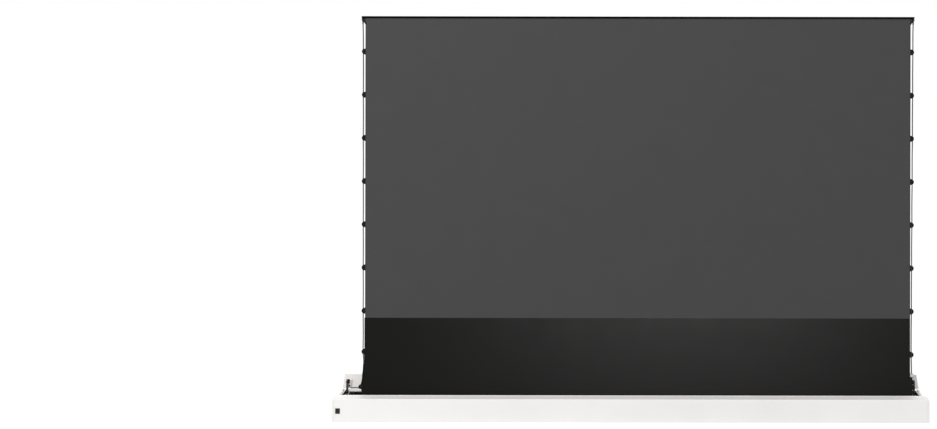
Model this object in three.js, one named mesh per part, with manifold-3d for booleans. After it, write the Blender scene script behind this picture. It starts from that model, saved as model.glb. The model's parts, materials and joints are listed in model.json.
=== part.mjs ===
// Floor-rising projection screen, standing open: a long case on the floor, a lid that leans back,
// a tensioned picture on a motor roller, and two folding arms behind it that carry the top bar.
// Millimetres. X runs along the case, -Y faces the audience, +Z is up.
// The origin lies on the floor under the middle of the case.

import * as THREE from "three";
import { mergeVertices } from "three/addons/utils/BufferGeometryUtils.js";
import Module from "manifold-3d";

const wasm = await Module();
wasm.setup();

// Driving dimensions

// Fits and facets
const fit = 0.3; // gap between two pieces that touch
const overrun = 1; // how far a cut runs past the face it opens
const arcFacets = 3; // curve divisions, six facets to each arc
const turnedFacets = 18;

// Case
const caseLength = 2463;
const caseDepth = 130;
const caseHeight = 96; // floor to the top of the strip
const wall = 2;
const stripDepth = 46; // top strip in front of the slot
const lipDrop = 12; // folded edge under the strip
const beadHeight = 1.2; // rounded bead along the slot
const footHeight = 3;
const footSetback = 10; // foot's ends inside the case's front and rear faces
const footWidth = 30;
const footInset = 130; // outer foot to the end of the case
const flangeDepth = 14; // front cover's flange under the floor panel
const tongueDepth = 18; // step of the floor panel over that flange
const rearFlange = 8; // rear panel's flange under the floor panel
const rearTongue = 12;
const cornerRadius = 3;

// End plates
const endFlange = 8; // thickness outside the shells
const endSpigot = 5; // inner rim that plugs into the shells
const lidRecess = 6.4; // notch that the closed lid fills
const lidSeam = 4; // gap between strip and closed lid

// Lid
const lidOpenAngle = 119;
const lidThickness = 6;
const lidWall = 1.4;
const lidWebs = 2;
const lidTube = 12.6;
const lidBore = 7;
const lidCap = 3;
const hingeInset = 10; // hinge axis in front of the rear face
const lidEndRoot = 12.3; // beyond the tube's ends the lid starts this far from the axis
const pivotRadius = 3;
const pivotInsert = 18; // length of the pivot inside the tube
const pivotHead = 5;
const pivotHeadLength = 2.5;
const saddleLength = 30;
const saddleInset = 631.5; // outer saddles to the ends of the case
const saddleDrop = 14; // saddle below the hinge axis
const saddleReach = 7.5;
const saddleRim = 2; // how far below the axis the cradle stops

// Lid lever and its roller, spring and pivot, alike at both ends
const leverDrop = 16; // lever pivot below the hinge axis
const leverForward = 2; // and in front of it
const leverLength = 55.5;
const leverThickness = 5;
const leverBoss = 7;
const leverWidth = 10.5;
const eyeRadius = 8.6;
const eyeBore = 4.3;
const rollerRadius = 9;
const rollerWidth = 6;
const axleRadius = 4;
const axleHead = 5.9;
const axleDome = 3.2;
const leverInset = 24.5; // end of the case to the lever's inner face
const padThickness = 8;
const padStart = 15; // strike pad, from the hinge axis along the lid
const padLength = 31;
const padWidth = 12;
const cheekInset = 31.5; // end of the case to the bracket's cheek
const cheekThickness = 3;
const cheekWidth = 21;
const cheekDrop = 33.7; // bottom of the bracket below the hinge axis
const bracketFlange = 20;
const leverPinRadius = 3;
const springPinRadius = 1.5;
const springPinReach = 38; // spring pin along the lever
const springPinForward = 2.4;
const springMeanRadius = 2.5;
const springWire = 0.55;
const springTurns = 5;
const springTail = 9; // straight tail between loop and coil
const turnPoints = 8; // points of one turn, and half as many for a loop's half turn
const pegForward = 36; // spring peg in front of the hinge axis
const pegDrop = 47; // and below it
const pegCollar = 2.6;

// Fabrics, top bar and cords
const motorSide = 120.5; // end of the case to the fabric, where the motor bracket takes room
const idlerSide = 62.5;
const fabricThickness = 0.8;
const seamHeight = 418; // floor to the seam between picture and mask
const firstTabDrop = 148; // top bar's upper face to the highest tab
const lastTabRise = 29.4; // seam to the lowest tab on the picture
const maskTabDrop = 151.2; // seam to the tab on the mask
const tabHeight = 25;
const tabTip = 17;
const tabReach = 5.6;
const pictureTabs = 7;
const flareKnee = 194;
const flareKneeWidth = 12;
const flareEnd = 128;
const flareWidth = 15;
const stepHeight = 173; // right edge of the mask steps out below this
const barOverhang = 15.5; // top bar beyond the fabric
const barDepth = 25;
const barHeight = 8;
const barWall = 1.6;
const barGroove = 2;
const barGrooveDepth = 5;
const barLead = 2.8; // front of the bar ahead of the fabric
const barRound = 1.5;
const barCap = 3;
const earDrop = 21;
const earThickness = 3.4;
const earHole = 1.9;
const cordOut = 10.5; // cord outside the fabric's edge
const cordRadius = 2.2;
const clipRadius = 3.9;
const clipLength = 20;
const cordSag = 1.2; // cord bows in between tabs
const cordSteps = 2; // straight stretches of a cord between two clips

// Roller and motor
const rollerTube = 42;
const tubeWall = 1.6;
const turnBuild = 1.5; // fabric turns that stay on the tube
const rollerRoomShare = 0.203; // share of the case's spare depth in front of the roller
const armRoomShare = 0.162; // and between the fabric and the hangers
const rollerHeight = 36;
const rollerOverhang = 23; // tube beyond the fabric's edges
const rollerFacets = 24;
const motorRadius = 17.5;
const motorLength = 430;
const motorHeadRadius = 20;
const motorHead = 14;
const stubRadius = 6;
const stubLength = 6.6;
const plugLength = 18;
const plugRim = 2;
const bracketPlate = 3;
const bracketWidth = 44;
const bracketTop = 62;
const bracketFoot = 20;

// Arms
const armInset = 240; // shoulder pivots inside the fabric's edges
const armLength = 808.9;
const armLean = 10; // degrees off vertical when the screen is up
const shoulderHeight = 40;
const armWidth = 27;
const armBoss = 17;
const upperArmDepth = 13;
const lowerArmDepth = 14;
const armGap = 1;
const armPocket = 4;
const armPocketWidth = 17;
const armPocketEnd = 34;
const elbowRadius = 6;
const elbowHead = 9;
const elbowHeadLength = 1.6;
const shoulderRadius = 8;
const shoulderPlate = 5;
const shoulderGap = 1.5;
const shoulderWidth = 96;
const shoulderRound = 24;
const shoulderFootGap = 0.6; // foot of the bracket to the floor panel's rear step
const shoulderFootThickness = 3;
const drumRadius = 27;
const drumDepth = 14;
const drumLip = 3;
const drumHub = 12;
const drumStep = 2;
const hangerThickness = 3;
const hangerGap = 1;
const hangerWidth = 44;
const hangerRound = 11;
const hangerFlange = 11;
const barAbovePivot = 38; // keeps the bar and its ears above the full roll when folded
const hangerPinRadius = 5;

// Receiver window, control box and inlet
const windowWidth = 19.5;
const windowHeight = 23;
const bezelRim = 2.6;
const bezelDepth = 5;
const bezelBack = 2.4; // flange behind the front wall
const bezelFlange = 3;
const lensRecess = 0.5;
const windowFromEnd = 25.3;
const windowCentreHeight = 46.3;
const boxLength = 50;
const boxDepthShare = 0.58; // share of the depth between motor bracket and rear wall
const boxGapShare = 0.13;
const boxHeight = 46;
const boxWall = 2.2;
const boxFromEnd = 41;
const boxRound = 4;
const inletFromEnd = 66;
const inletHeight = 26;
const inletWidth = 34;
const inletTall = 26;
const inletFlange = 5;
const inletBody = 14;
const inletWallShare = 0.18;

// Sizes that follow from the driving dimensions
const halfCase = caseLength / 2;
const shellHalf = halfCase - endFlange - fit;
const spigotHalf = halfCase - endFlange - endSpigot;
const fabricLeft = motorSide - halfCase;
const fabricRight = halfCase - idlerSide;
const screenOffset = (fabricLeft + fabricRight) / 2;
const armSpacing = fabricRight - fabricLeft - 2 * armInset;
const frontY = -caseDepth / 2;
const hingeY = caseDepth / 2 - hingeInset;
const hingeZ = caseHeight - lidTube / 2;
const lidOpen = THREE.MathUtils.degToRad(lidOpenAngle);
const lidInnerFace = lidTube / 2 - lidThickness;
const rearWallTop =
  hingeZ + (lidTube / 2 + fit - Math.sin(lidOpen) * (hingeInset - wall)) / Math.cos(lidOpen);
const lidReach = caseDepth - hingeInset - stripDepth - lidSeam;

// From front to rear the case holds the roller, fabric, hangers, arms, brackets and drums.
// What is left of its depth is spare, and is shared out between them.
const rollRadius = rollerTube / 2 + turnBuild;
const armStack = hangerThickness + hangerGap + upperArmDepth + armGap + lowerArmDepth;
const bracketStack = shoulderGap + shoulderPlate + fit + drumDepth;
const spareDepth = caseDepth - 2 * (wall + rollRadius) - fit - fabricThickness - armStack - bracketStack;
const rollerBehind = wall + rollRadius + spareDepth * rollerRoomShare;
const fabricFront = rollerBehind + rollRadius + fit;
const barFront = fabricFront - barLead;
const hangerFront = fabricFront + fabricThickness + spareDepth * armRoomShare;
const upperArmFront = hangerFront + hangerThickness + hangerGap;
const boxRoom = caseDepth - wall - rollerBehind - bracketWidth / 2;

const lean = THREE.MathUtils.degToRad(armLean);
const topPivotZ = shoulderHeight + 2 * armLength * Math.cos(lean);
const barBottom = topPivotZ + barAbovePivot;
const barTop = barBottom + barHeight;
const lowerArmFront = upperArmFront + upperArmDepth + armGap;
const shoulderFront = lowerArmFront + lowerArmDepth + shoulderGap;
const floorTop = footHeight + wall;
const barLeft = fabricLeft - barOverhang;
const barRight = fabricRight + barOverhang;
const cheekX = halfCase - cheekInset;
const tubeHalf = cheekX - cheekThickness - fit;
const leverX = halfCase - leverInset;
const pegZ = hingeZ - pegDrop;
const wireCentreX = leverX - fit - springMeanRadius - springWire;

// Finishes
const finish = (color, roughness, metalness = 0) =>
  new THREE.MeshStandardMaterial({ color, roughness, metalness });
const whitePaint = finish(0xf2efec, 0.45);
const blackAnodised = finish(0x0c0c0c, 0.4, 0.5);
const pictureGrey = finish(0x4b4b4b, 0.85);
const maskBlack = finish(0x26221f, 0.9);
const zincSteel = finish(0xa9aaac, 0.35, 0.9);
const millAluminium = finish(0xb9babb, 0.4, 0.85);
const armGrey = finish(0x2b2c2e, 0.45, 0.4);
const blackPlastic = finish(0x141414, 0.5);
const blackRubber = finish(0x1b1b1b, 0.9);
const darkLens = finish(0x26282b, 0.12);
const cordGrey = finish(0x8c8c8c, 0.8);

// Geometry helpers

const axisX = new THREE.Vector3(1, 0, 0);
const axisY = new THREE.Vector3(0, 1, 0);
const axisZ = new THREE.Vector3(0, 0, 1);

// One closed surface: shared corners merged, flat triangles dropped, faces pointing out.
function closed(geometry) {
  geometry.deleteAttribute("normal");
  geometry.deleteAttribute("uv");
  const merged = mergeVertices(geometry);
  const position = merged.getAttribute("position");
  const faces = [];
  for (let i = 0; i < merged.index.count; i += 3) {
    const corners = [0, 1, 2].map((k) => merged.index.getX(i + k));
    if (new Set(corners).size === 3) faces.push(corners);
  }
  const [a, b, c] = [new THREE.Vector3(), new THREE.Vector3(), new THREE.Vector3()];
  let volume = 0;
  for (const corners of faces) {
    [a, b, c].forEach((point, k) => point.fromBufferAttribute(position, corners[k]));
    volume += a.dot(b.clone().cross(c));
  }
  if (volume < 0) faces.forEach((corners) => corners.reverse());
  merged.setIndex(faces.flat());
  return merged;
}

function toManifold(geometry) {
  const body = closed(geometry.clone());
  return new wasm.Manifold(
    new wasm.Mesh({
      numProp: 3,
      vertProperties: new Float32Array(body.getAttribute("position").array),
      triVerts: new Uint32Array(body.index.array),
    }),
  );
}

function toGeometry(manifold) {
  const mesh = manifold.getMesh();
  const geometry = new THREE.BufferGeometry();
  geometry.setAttribute("position", new THREE.BufferAttribute(new Float32Array(mesh.vertProperties), 3));
  geometry.setIndex(new THREE.BufferAttribute(new Uint32Array(mesh.triVerts), 1));
  return geometry;
}

function joined(...geometries) {
  return toGeometry(geometries.map(toManifold).reduce((sum, next) => sum.add(next)));
}

function cutAway(geometry, ...cutters) {
  return toGeometry(cutters.map(toManifold).reduce((rest, next) => rest.subtract(next), toManifold(geometry)));
}

// An outline through points [u, v, radius]; a corner with a radius is rounded with an arc.
function outline(points) {
  const shape = new THREE.Shape();
  points.forEach(([u, v, radius = 0], i) => {
    const here = new THREE.Vector2(u, v);
    const [pu, pv] = points[(i + points.length - 1) % points.length];
    const [nu, nv] = points[(i + 1) % points.length];
    const back = new THREE.Vector2(pu, pv).sub(here).normalize();
    const ahead = new THREE.Vector2(nu, nv).sub(here).normalize();
    if (radius === 0) {
      if (i === 0) shape.moveTo(u, v);
      else shape.lineTo(u, v);
      return;
    }
    const half = Math.acos(THREE.MathUtils.clamp(back.dot(ahead), -1, 1)) / 2;
    const start = here.clone().addScaledVector(back, radius / Math.tan(half));
    const end = here.clone().addScaledVector(ahead, radius / Math.tan(half));
    const centre = here.clone().addScaledVector(back.clone().add(ahead).normalize(), radius / Math.sin(half));
    if (i === 0) shape.moveTo(start.x, start.y);
    else shape.lineTo(start.x, start.y);
    const from = Math.atan2(start.y - centre.y, start.x - centre.x);
    const to = Math.atan2(end.y - centre.y, end.x - centre.x);
    shape.absarc(centre.x, centre.y, radius, from, to, back.cross(ahead) > 0);
  });
  shape.closePath();
  return shape;
}

function rectangle(u0, v0, u1, v1, radius = 0) {
  return outline([
    [u0, v0, radius],
    [u1, v0, radius],
    [u1, v1, radius],
    [u0, v1, radius],
  ]);
}

// An arc drawn in several parts, each of which gets six facets.
function addArc(shape, u, v, radius, from, to, parts) {
  for (let part = 0; part < parts; part += 1) {
    const start = from + ((to - from) * part) / parts;
    shape.absarc(u, v, radius, start, start + (to - from) / parts, false);
  }
  return shape;
}

function circle(u, v, radius, parts = 3) {
  return addArc(new THREE.Shape(), u, v, radius, 0, 2 * Math.PI, parts);
}

function withHoles(shape, ...holes) {
  shape.holes.push(...holes);
  return shape;
}

function extruded(shape, length) {
  return new THREE.ExtrudeGeometry(shape, {
    depth: length,
    steps: 1,
    bevelEnabled: false,
    curveSegments: arcFacets,
  });
}

// A section drawn in depth and height, run along X.
function alongX(shape, from, to) {
  const geometry = extruded(shape, to - from);
  geometry.applyMatrix4(new THREE.Matrix4().makeBasis(axisY, axisZ, axisX));
  return geometry.translate(from, 0, 0);
}

// A face drawn in X and height, run along Y.
function alongY(shape, from, to) {
  const geometry = extruded(shape, to - from);
  geometry.applyMatrix4(new THREE.Matrix4().makeBasis(axisX, axisZ, axisY.clone().negate()));
  return geometry.translate(0, to, 0);
}

function alongZ(shape, from, to) {
  return extruded(shape, to - from).translate(0, 0, from);
}

// A turned piece about X: profile of [station, radius] pairs, ending on the axis or closed.
function turnedX(profile, facets = turnedFacets) {
  const points = profile.map(([station, radius]) => new THREE.Vector2(radius, station));
  return closed(new THREE.LatheGeometry(points, facets)).rotateZ(-Math.PI / 2);
}

// The same about Y, with stations counted towards the rear.
function turnedY(profile, facets = turnedFacets) {
  const points = profile.map(([station, radius]) => new THREE.Vector2(radius, station));
  return closed(new THREE.LatheGeometry(points, facets));
}

function ringProfile(from, to, inner, outer) {
  return [
    [from, inner],
    [from, outer],
    [to, outer],
    [to, inner],
    [from, inner],
  ];
}

const screen = new THREE.Group();

function place(parent, name, geometry, material, position = [0, 0, 0]) {
  const mesh = new THREE.Mesh(closed(geometry.clone()), material);
  mesh.name = name;
  mesh.position.set(...position);
  parent.add(mesh);
  return mesh;
}

// The case's sections are drawn from its front face, so their meshes sit at frontY.
const atFront = [0, frontY, 0];

// Mirrors a left-hand geometry to the right end.
function mirrored(geometry) {
  return closed(geometry.clone().scale(-1, 1, 1));
}

const sides = [
  { side: "left", sign: -1 },
  { side: "right", sign: 1 },
];

// Case shells

function frontCover() {
  const beadStart = stripDepth - 2 * beadHeight;
  const section = outline([
    [0, footHeight, wall / 2],
    [flangeDepth, footHeight],
    [flangeDepth, floorTop],
    [wall, floorTop],
    [wall, caseHeight - wall],
    [stripDepth - wall, caseHeight - wall],
    [stripDepth - wall, caseHeight - lipDrop],
    [stripDepth, caseHeight - lipDrop],
    [stripDepth, caseHeight + beadHeight, beadHeight - beadHeight / 10],
    [beadStart, caseHeight + beadHeight, beadHeight - beadHeight / 10],
    [beadStart, caseHeight],
    [0, caseHeight, wall],
  ]);
  const opening = alongY(
    rectangle(
      -windowWidth / 2 - bezelRim - fit,
      -windowHeight / 2 - bezelRim - fit,
      windowWidth / 2 + bezelRim + fit,
      windowHeight / 2 + bezelRim + fit,
      bezelRim,
    ),
    -overrun,
    wall + overrun,
  );
  opening.translate(windowFromEnd - halfCase, 0, windowCentreHeight);
  return cutAway(alongX(section, -shellHalf, shellHalf), opening);
}

// The floor panel's front and rear edges step up over the flanges of the front cover and rear panel.
function floorPanel() {
  const tongueTop = floorTop + fit + wall;
  const rearEdge = caseDepth - rearFlange - fit;
  return alongX(
    outline([
      [flangeDepth + fit, footHeight],
      [rearEdge, footHeight],
      [rearEdge, floorTop],
      [caseDepth - rearTongue, floorTop],
      [caseDepth - rearTongue, floorTop + fit],
      [caseDepth - wall - fit, floorTop + fit],
      [caseDepth - wall - fit, tongueTop],
      [caseDepth - rearTongue - wall, tongueTop],
      [caseDepth - rearTongue - wall, floorTop],
      [tongueDepth + wall, floorTop],
      [tongueDepth + wall, tongueTop],
      [wall + fit, tongueTop],
      [wall + fit, floorTop + fit],
      [tongueDepth, floorTop + fit],
      [tongueDepth, floorTop],
      [flangeDepth + fit, floorTop],
    ]),
    -shellHalf,
    shellHalf,
  );
}

function rearPanel() {
  const section = outline([
    [caseDepth - rearFlange, footHeight],
    [caseDepth, footHeight, wall],
    [caseDepth, rearWallTop],
    [caseDepth - wall, rearWallTop],
    [caseDepth - wall, floorTop],
    [caseDepth - rearFlange, floorTop],
  ]);
  const socketHole = alongY(
    rectangle(
      -inletWidth / 2 - fit,
      -inletTall / 2 - fit,
      inletWidth / 2 + fit,
      inletTall / 2 + fit,
      cornerRadius,
    ),
    caseDepth - wall - overrun,
    caseDepth + overrun,
  );
  socketHole.translate(inletFromEnd - halfCase, 0, inletHeight);
  return cutAway(alongX(section, -shellHalf, shellHalf), socketHole);
}

place(screen, "front_cover", frontCover(), whitePaint, atFront);
place(screen, "floor_panel", floorPanel(), whitePaint, atFront);
place(screen, "rear_panel", rearPanel(), whitePaint, atFront);

// End plates: a flange outside the shells, a spigot inside them, a recess for the closed lid,
// a blind bore for the lever's pivot and a peg for the spring.

function endPlate() {
  const recessFloor = caseHeight - lidRecess;
  const recessFront = stripDepth;
  const recessRear = caseDepth - hingeInset - lidEndRoot + lidSeam - fit;
  const flangeFace = outline([
    [0, footHeight, cornerRadius],
    [caseDepth, footHeight, cornerRadius],
    [caseDepth, caseHeight, cornerRadius],
    [recessRear, caseHeight],
    [recessRear, recessFloor],
    [recessFront, recessFloor],
    [recessFront, caseHeight],
    [0, caseHeight, cornerRadius],
  ]);
  const under = wall + fit;
  const spigotBottom = floorTop + fit + wall + fit;
  const bezelHalf = windowHeight / 2 + bezelRim + bezelFlange + fit;
  const spigotFace = outline([
    [under, spigotBottom],
    [caseDepth - under, spigotBottom],
    [caseDepth - under, rearWallTop],
    [recessRear, recessFloor - lidRecess / 2],
    [stripDepth + fit, recessFloor - lidRecess / 2],
    [stripDepth + fit, caseHeight - lipDrop - fit],
    [stripDepth - under, caseHeight - lipDrop - fit],
    [stripDepth - under, caseHeight - under],
    [under, caseHeight - under],
    [under, windowCentreHeight + bezelHalf],
    [bezelDepth + fit, windowCentreHeight + bezelHalf],
    [bezelDepth + fit, windowCentreHeight - bezelHalf],
    [under, windowCentreHeight - bezelHalf],
  ]);
  const leverBore = alongX(circle(0, 0, leverPinRadius + fit), -spigotHalf - endSpigot, -spigotHalf + overrun);
  leverBore.translate(0, caseDepth - hingeInset - leverForward, hingeZ - leverDrop);
  const pegEnd = wireCentreX - springMeanRadius - springWire - fit;
  const peg = turnedX([
    [-spigotHalf - overrun, 0],
    [-spigotHalf - overrun, pegCollar],
    [-wireCentreX - springWire - fit - overrun, pegCollar],
    [-wireCentreX - springWire - fit - overrun, springPinRadius],
    [-pegEnd, springPinRadius],
    [-pegEnd, 0],
  ]);
  peg.translate(0, caseDepth - hingeInset - pegForward, pegZ);
  return joined(
    cutAway(
      joined(
        alongX(flangeFace, -halfCase, -halfCase + endFlange),
        alongX(spigotFace, -halfCase + endFlange - overrun, -spigotHalf),
      ),
      leverBore,
    ),
    peg,
  );
}

place(screen, "end_plate_left", endPlate(), whitePaint, atFront);
place(screen, "end_plate_right", mirrored(endPlate()), whitePaint, atFront);

// Feet: three rubber bars across the case

function foot() {
  return alongZ(
    rectangle(-footWidth / 2, frontY + footSetback, footWidth / 2, -frontY - footSetback, cornerRadius),
    0,
    footHeight,
  );
}

place(screen, "foot_left", foot(), blackRubber, [footInset - halfCase, 0, 0]);
place(screen, "foot_middle", foot(), blackRubber);
place(screen, "foot_right", foot(), blackRubber, [halfCase - footInset, 0, 0]);

// Receiver window: a bezel held in the front wall by a flange behind it, with a dark lens inside

function bezel() {
  const halfWidth = windowWidth / 2;
  const halfHeight = windowHeight / 2;
  const lensHole = () => rectangle(-halfWidth, -halfHeight, halfWidth, halfHeight, bezelRim / 2);
  const rim = rectangle(
    -halfWidth - bezelRim,
    -halfHeight - bezelRim,
    halfWidth + bezelRim,
    halfHeight + bezelRim,
    bezelRim,
  );
  const flange = rectangle(
    -halfWidth - bezelRim - bezelFlange,
    -halfHeight - bezelRim - bezelFlange,
    halfWidth + bezelRim + bezelFlange,
    halfHeight + bezelRim + bezelFlange,
    bezelRim,
  );
  return joined(
    alongY(withHoles(rim, lensHole()), 0, bezelDepth),
    alongY(withHoles(flange, lensHole()), wall + fit, wall + fit + bezelBack),
  );
}

function lens() {
  return alongY(
    rectangle(
      -windowWidth / 2 + fit,
      -windowHeight / 2 + fit,
      windowWidth / 2 - fit,
      windowHeight / 2 - fit,
      bezelRim / 2,
    ),
    lensRecess,
    bezelDepth,
  );
}

const windowPlace = [windowFromEnd - halfCase, frontY, windowCentreHeight];
place(screen, "receiver_bezel", bezel(), whitePaint, windowPlace);
place(screen, "receiver_lens", lens(), darkLens, windowPlace);

// Power inlet: its flange sits against the rear wall from inside, the socket opens to the rear

function powerInlet() {
  const flange = rectangle(
    -inletWidth / 2 - inletFlange,
    -inletTall / 2 - inletFlange + wall,
    inletWidth / 2 + inletFlange,
    inletTall / 2 + inletFlange,
    cornerRadius,
  );
  const inner = caseDepth - wall - fit;
  const rim = inletWidth * inletWallShare;
  const body = rectangle(-inletWidth / 2, -inletTall / 2, inletWidth / 2, inletTall / 2, cornerRadius);
  const socket = rectangle(
    -inletWidth / 2 + rim,
    -inletTall / 2 + rim,
    inletWidth / 2 - rim,
    inletTall / 2 - rim,
    wall,
  );
  return cutAway(
    joined(alongY(flange, inner - wall, inner), alongY(body, inner - inletBody, caseDepth - fit)),
    alongY(socket, inner - inletBody + wall, caseDepth + overrun),
  );
}

place(screen, "power_inlet", powerInlet(), blackPlastic, [inletFromEnd - halfCase, frontY, inletHeight]);

// Control box: a housing on the floor panel, open underneath

function controlBox() {
  const boxDepth = boxRoom * boxDepthShare;
  const outer = rectangle(0, 0, boxLength, boxDepth, boxRound);
  const inner = rectangle(boxWall, boxWall, boxLength - boxWall, boxDepth - boxWall, boxRound - boxWall);
  return cutAway(alongZ(outer, 0, boxHeight), alongZ(inner, -overrun, boxHeight - boxWall));
}

const boxY = -frontY - wall - boxRoom * (1 - boxGapShare);
place(screen, "control_box", controlBox(), blackPlastic, [boxFromEnd - halfCase, boxY, floorTop]);

// Roller: tube, turns of fabric that stay on it, motor in the left end, plug and stub in the right

const tubeLeft = fabricLeft - rollerOverhang;
const tubeRight = fabricRight + rollerOverhang;
const rollerAxis = [0, frontY + rollerBehind, rollerHeight];
const tubeInner = rollerTube / 2 - tubeWall;

place(
  screen,
  "roller_tube",
  turnedX(ringProfile(tubeLeft, tubeRight, tubeInner, rollerTube / 2), rollerFacets),
  millAluminium,
  rollerAxis,
);

place(
  screen,
  "fabric_turns",
  turnedX(
    ringProfile(fabricLeft - flareWidth, fabricRight + flareWidth, rollerTube / 2 + fit, rollerTube / 2 + turnBuild),
    rollerFacets,
  ),
  maskBlack,
  rollerAxis,
);

const motorBracketX = tubeLeft - fit - plugRim - motorHead - fit;
const idlerBracketX = tubeRight + fit + plugRim + fit;

function tubeMotor() {
  const head = motorBracketX + fit;
  const body = head + motorHead;
  return turnedX([
    [motorBracketX - bracketPlate - plugRim, 0],
    [motorBracketX - bracketPlate - plugRim, stubRadius],
    [head, stubRadius],
    [head, motorHeadRadius],
    [body, motorHeadRadius],
    [body, motorRadius],
    [body + motorLength, motorRadius],
    [body + motorLength, stubRadius],
    [body + motorLength + plugLength + plugRim, stubRadius],
    [body + motorLength + plugLength + plugRim, 0],
  ]);
}

place(screen, "tube_motor", tubeMotor(), blackAnodised, rollerAxis);

// The drive plug is a wheel on the motor's shaft that fills the tube.
const driveStart = motorBracketX + fit + motorHead + motorLength + fit;
place(
  screen,
  "roller_drive_plug",
  turnedX(ringProfile(driveStart, driveStart + plugLength, stubRadius + fit, tubeInner - fit)),
  blackPlastic,
  rollerAxis,
);

place(
  screen,
  "roller_idler_plug",
  turnedX([
    [tubeRight - plugLength, 0],
    [tubeRight - plugLength, tubeInner - fit],
    [tubeRight + fit, tubeInner - fit],
    [tubeRight + fit, rollerTube / 2],
    [tubeRight + fit + plugRim, rollerTube / 2],
    [tubeRight + fit + plugRim, stubRadius],
    [tubeRight + fit + plugRim + stubLength, stubRadius],
    [tubeRight + fit + plugRim + stubLength, 0],
  ]),
  blackPlastic,
  rollerAxis,
);

// A bracket plate with a rounded head around the roller's axis and a foot on the floor panel.
// towards is the way its foot points along X.
function rollerBracket(face, towards) {
  const half = bracketWidth / 2;
  const standing = floorTop + 2 * fit + wall - rollerHeight;
  const plate = withHoles(
    outline([
      [-half, standing],
      [half, standing],
      [half, bracketTop - rollerHeight, bracketWidth / 4],
      [-half, bracketTop - rollerHeight, bracketWidth / 4],
    ]),
    circle(0, 0, stubRadius + fit),
  );
  const [from, to] = towards < 0 ? [face - bracketPlate, face] : [face, face + bracketPlate];
  const [footFrom, footTo] = towards < 0 ? [from - bracketFoot, from + overrun] : [to - overrun, to + bracketFoot];
  return joined(
    alongX(plate, from, to),
    alongX(rectangle(-half, standing, half, standing + bracketPlate), footFrom, footTo),
  );
}

place(screen, "motor_bracket", rollerBracket(motorBracketX, -1), zincSteel, rollerAxis);
place(screen, "idler_bracket", rollerBracket(idlerBracketX, 1), zincSteel, rollerAxis);

// Fabrics: outlines in X and height, with tabs along both edges for the tension cords

const firstTab = barTop - firstTabDrop;
const tabPitch = (firstTab - seamHeight - lastTabRise) / (pictureTabs - 1);
const pictureTabHeights = Array.from({ length: pictureTabs }, (_, k) => firstTab - k * tabPitch);
const maskTabHeight = seamHeight - maskTabDrop;

// Points of one edge from low to high, stepping out at each tab. outward is -1 on the left.
function tabbedEdge(edge, outward, heights) {
  return heights.flatMap((height) => [
    [edge, height - tabHeight / 2],
    [edge + outward * tabReach, height - tabTip / 2],
    [edge + outward * tabReach, height + tabTip / 2],
    [edge, height + tabHeight / 2],
  ]);
}

function pictureFabric() {
  const rising = [...pictureTabHeights].reverse();
  const bottom = seamHeight;
  const top = barBottom + barGrooveDepth - fit;
  return alongY(
    outline([
      [fabricLeft, bottom],
      [fabricRight, bottom],
      ...tabbedEdge(fabricRight, 1, rising),
      [fabricRight, top],
      [fabricLeft, top],
      ...tabbedEdge(fabricLeft, -1, rising).reverse(),
    ]),
    fabricFront,
    fabricFront + fabricThickness,
  );
}

// Below its tabs the mask widens to the roller's width: in a flare on the left, in a step on the right.
function maskFabric() {
  const [, ...leftTab] = tabbedEdge(fabricLeft, -1, [maskTabHeight]);
  const top = seamHeight - fit;
  return alongY(
    outline([
      [fabricLeft - flareWidth, rollerHeight],
      [fabricRight + flareWidth, rollerHeight],
      [fabricRight + flareWidth, stepHeight],
      [fabricRight, stepHeight],
      ...tabbedEdge(fabricRight, 1, [maskTabHeight]),
      [fabricRight, top],
      [fabricLeft, top],
      ...leftTab.reverse(),
      [fabricLeft - flareKneeWidth, flareKnee],
      [fabricLeft - flareWidth, flareEnd],
    ]),
    fabricFront,
    fabricFront + fabricThickness,
  );
}

place(screen, "picture_fabric", pictureFabric(), pictureGrey, atFront);
place(screen, "mask_fabric", maskFabric(), maskBlack, atFront);

// Tension cords: each hangs below the top bar's ear, bows in a little between the tabs and has a
// clip at every tab. The left one follows the flare to a last clip beside the mask's wide part,
// the right one ends at a clip on the step. The end is given as [distance outwards, height].

function tensionCord(outward, end) {
  const clips = [...[...pictureTabHeights, maskTabHeight].map((height) => [0, height]), end];
  let above = [0, barBottom - earDrop - fit];
  const points = [new THREE.Vector3(above[0], 0, above[1])];
  for (const [out, height] of clips) {
    const middle = out === above[0] ? out - cordSag : (above[0] + out) / 2;
    points.push(new THREE.Vector3(outward * middle, 0, (above[1] + height) / 2));
    points.push(new THREE.Vector3(outward * out, 0, height));
    above = [out, height];
  }
  const cord = new THREE.ExtrudeGeometry(circle(0, 0, cordRadius, 1), {
    steps: clips.length * cordSteps,
    bevelEnabled: false,
    curveSegments: arcFacets,
    extrudePath: new THREE.CatmullRomCurve3(points),
  });
  const clipBodies = clips.map(([out, height]) =>
    alongZ(circle(outward * out, 0, clipRadius, 1), height - clipLength / 2, height + clipLength / 2),
  );
  return joined(cord, ...clipBodies);
}

const cordY = frontY + fabricFront + fabricThickness / 2;
const leftCord = tensionCord(-1, [flareWidth + clipRadius + fit - cordOut, flareEnd]);
const rightCord = tensionCord(1, [0, stepHeight + clipLength / 2 + fit]);
place(screen, "tension_cord_left", leftCord, cordGrey, [fabricLeft - cordOut, cordY, 0]);
place(screen, "tension_cord_right", rightCord, cordGrey, [fabricRight + cordOut, cordY, 0]);

// Top bar: a hollow bar with a groove below that grips the picture

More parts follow.
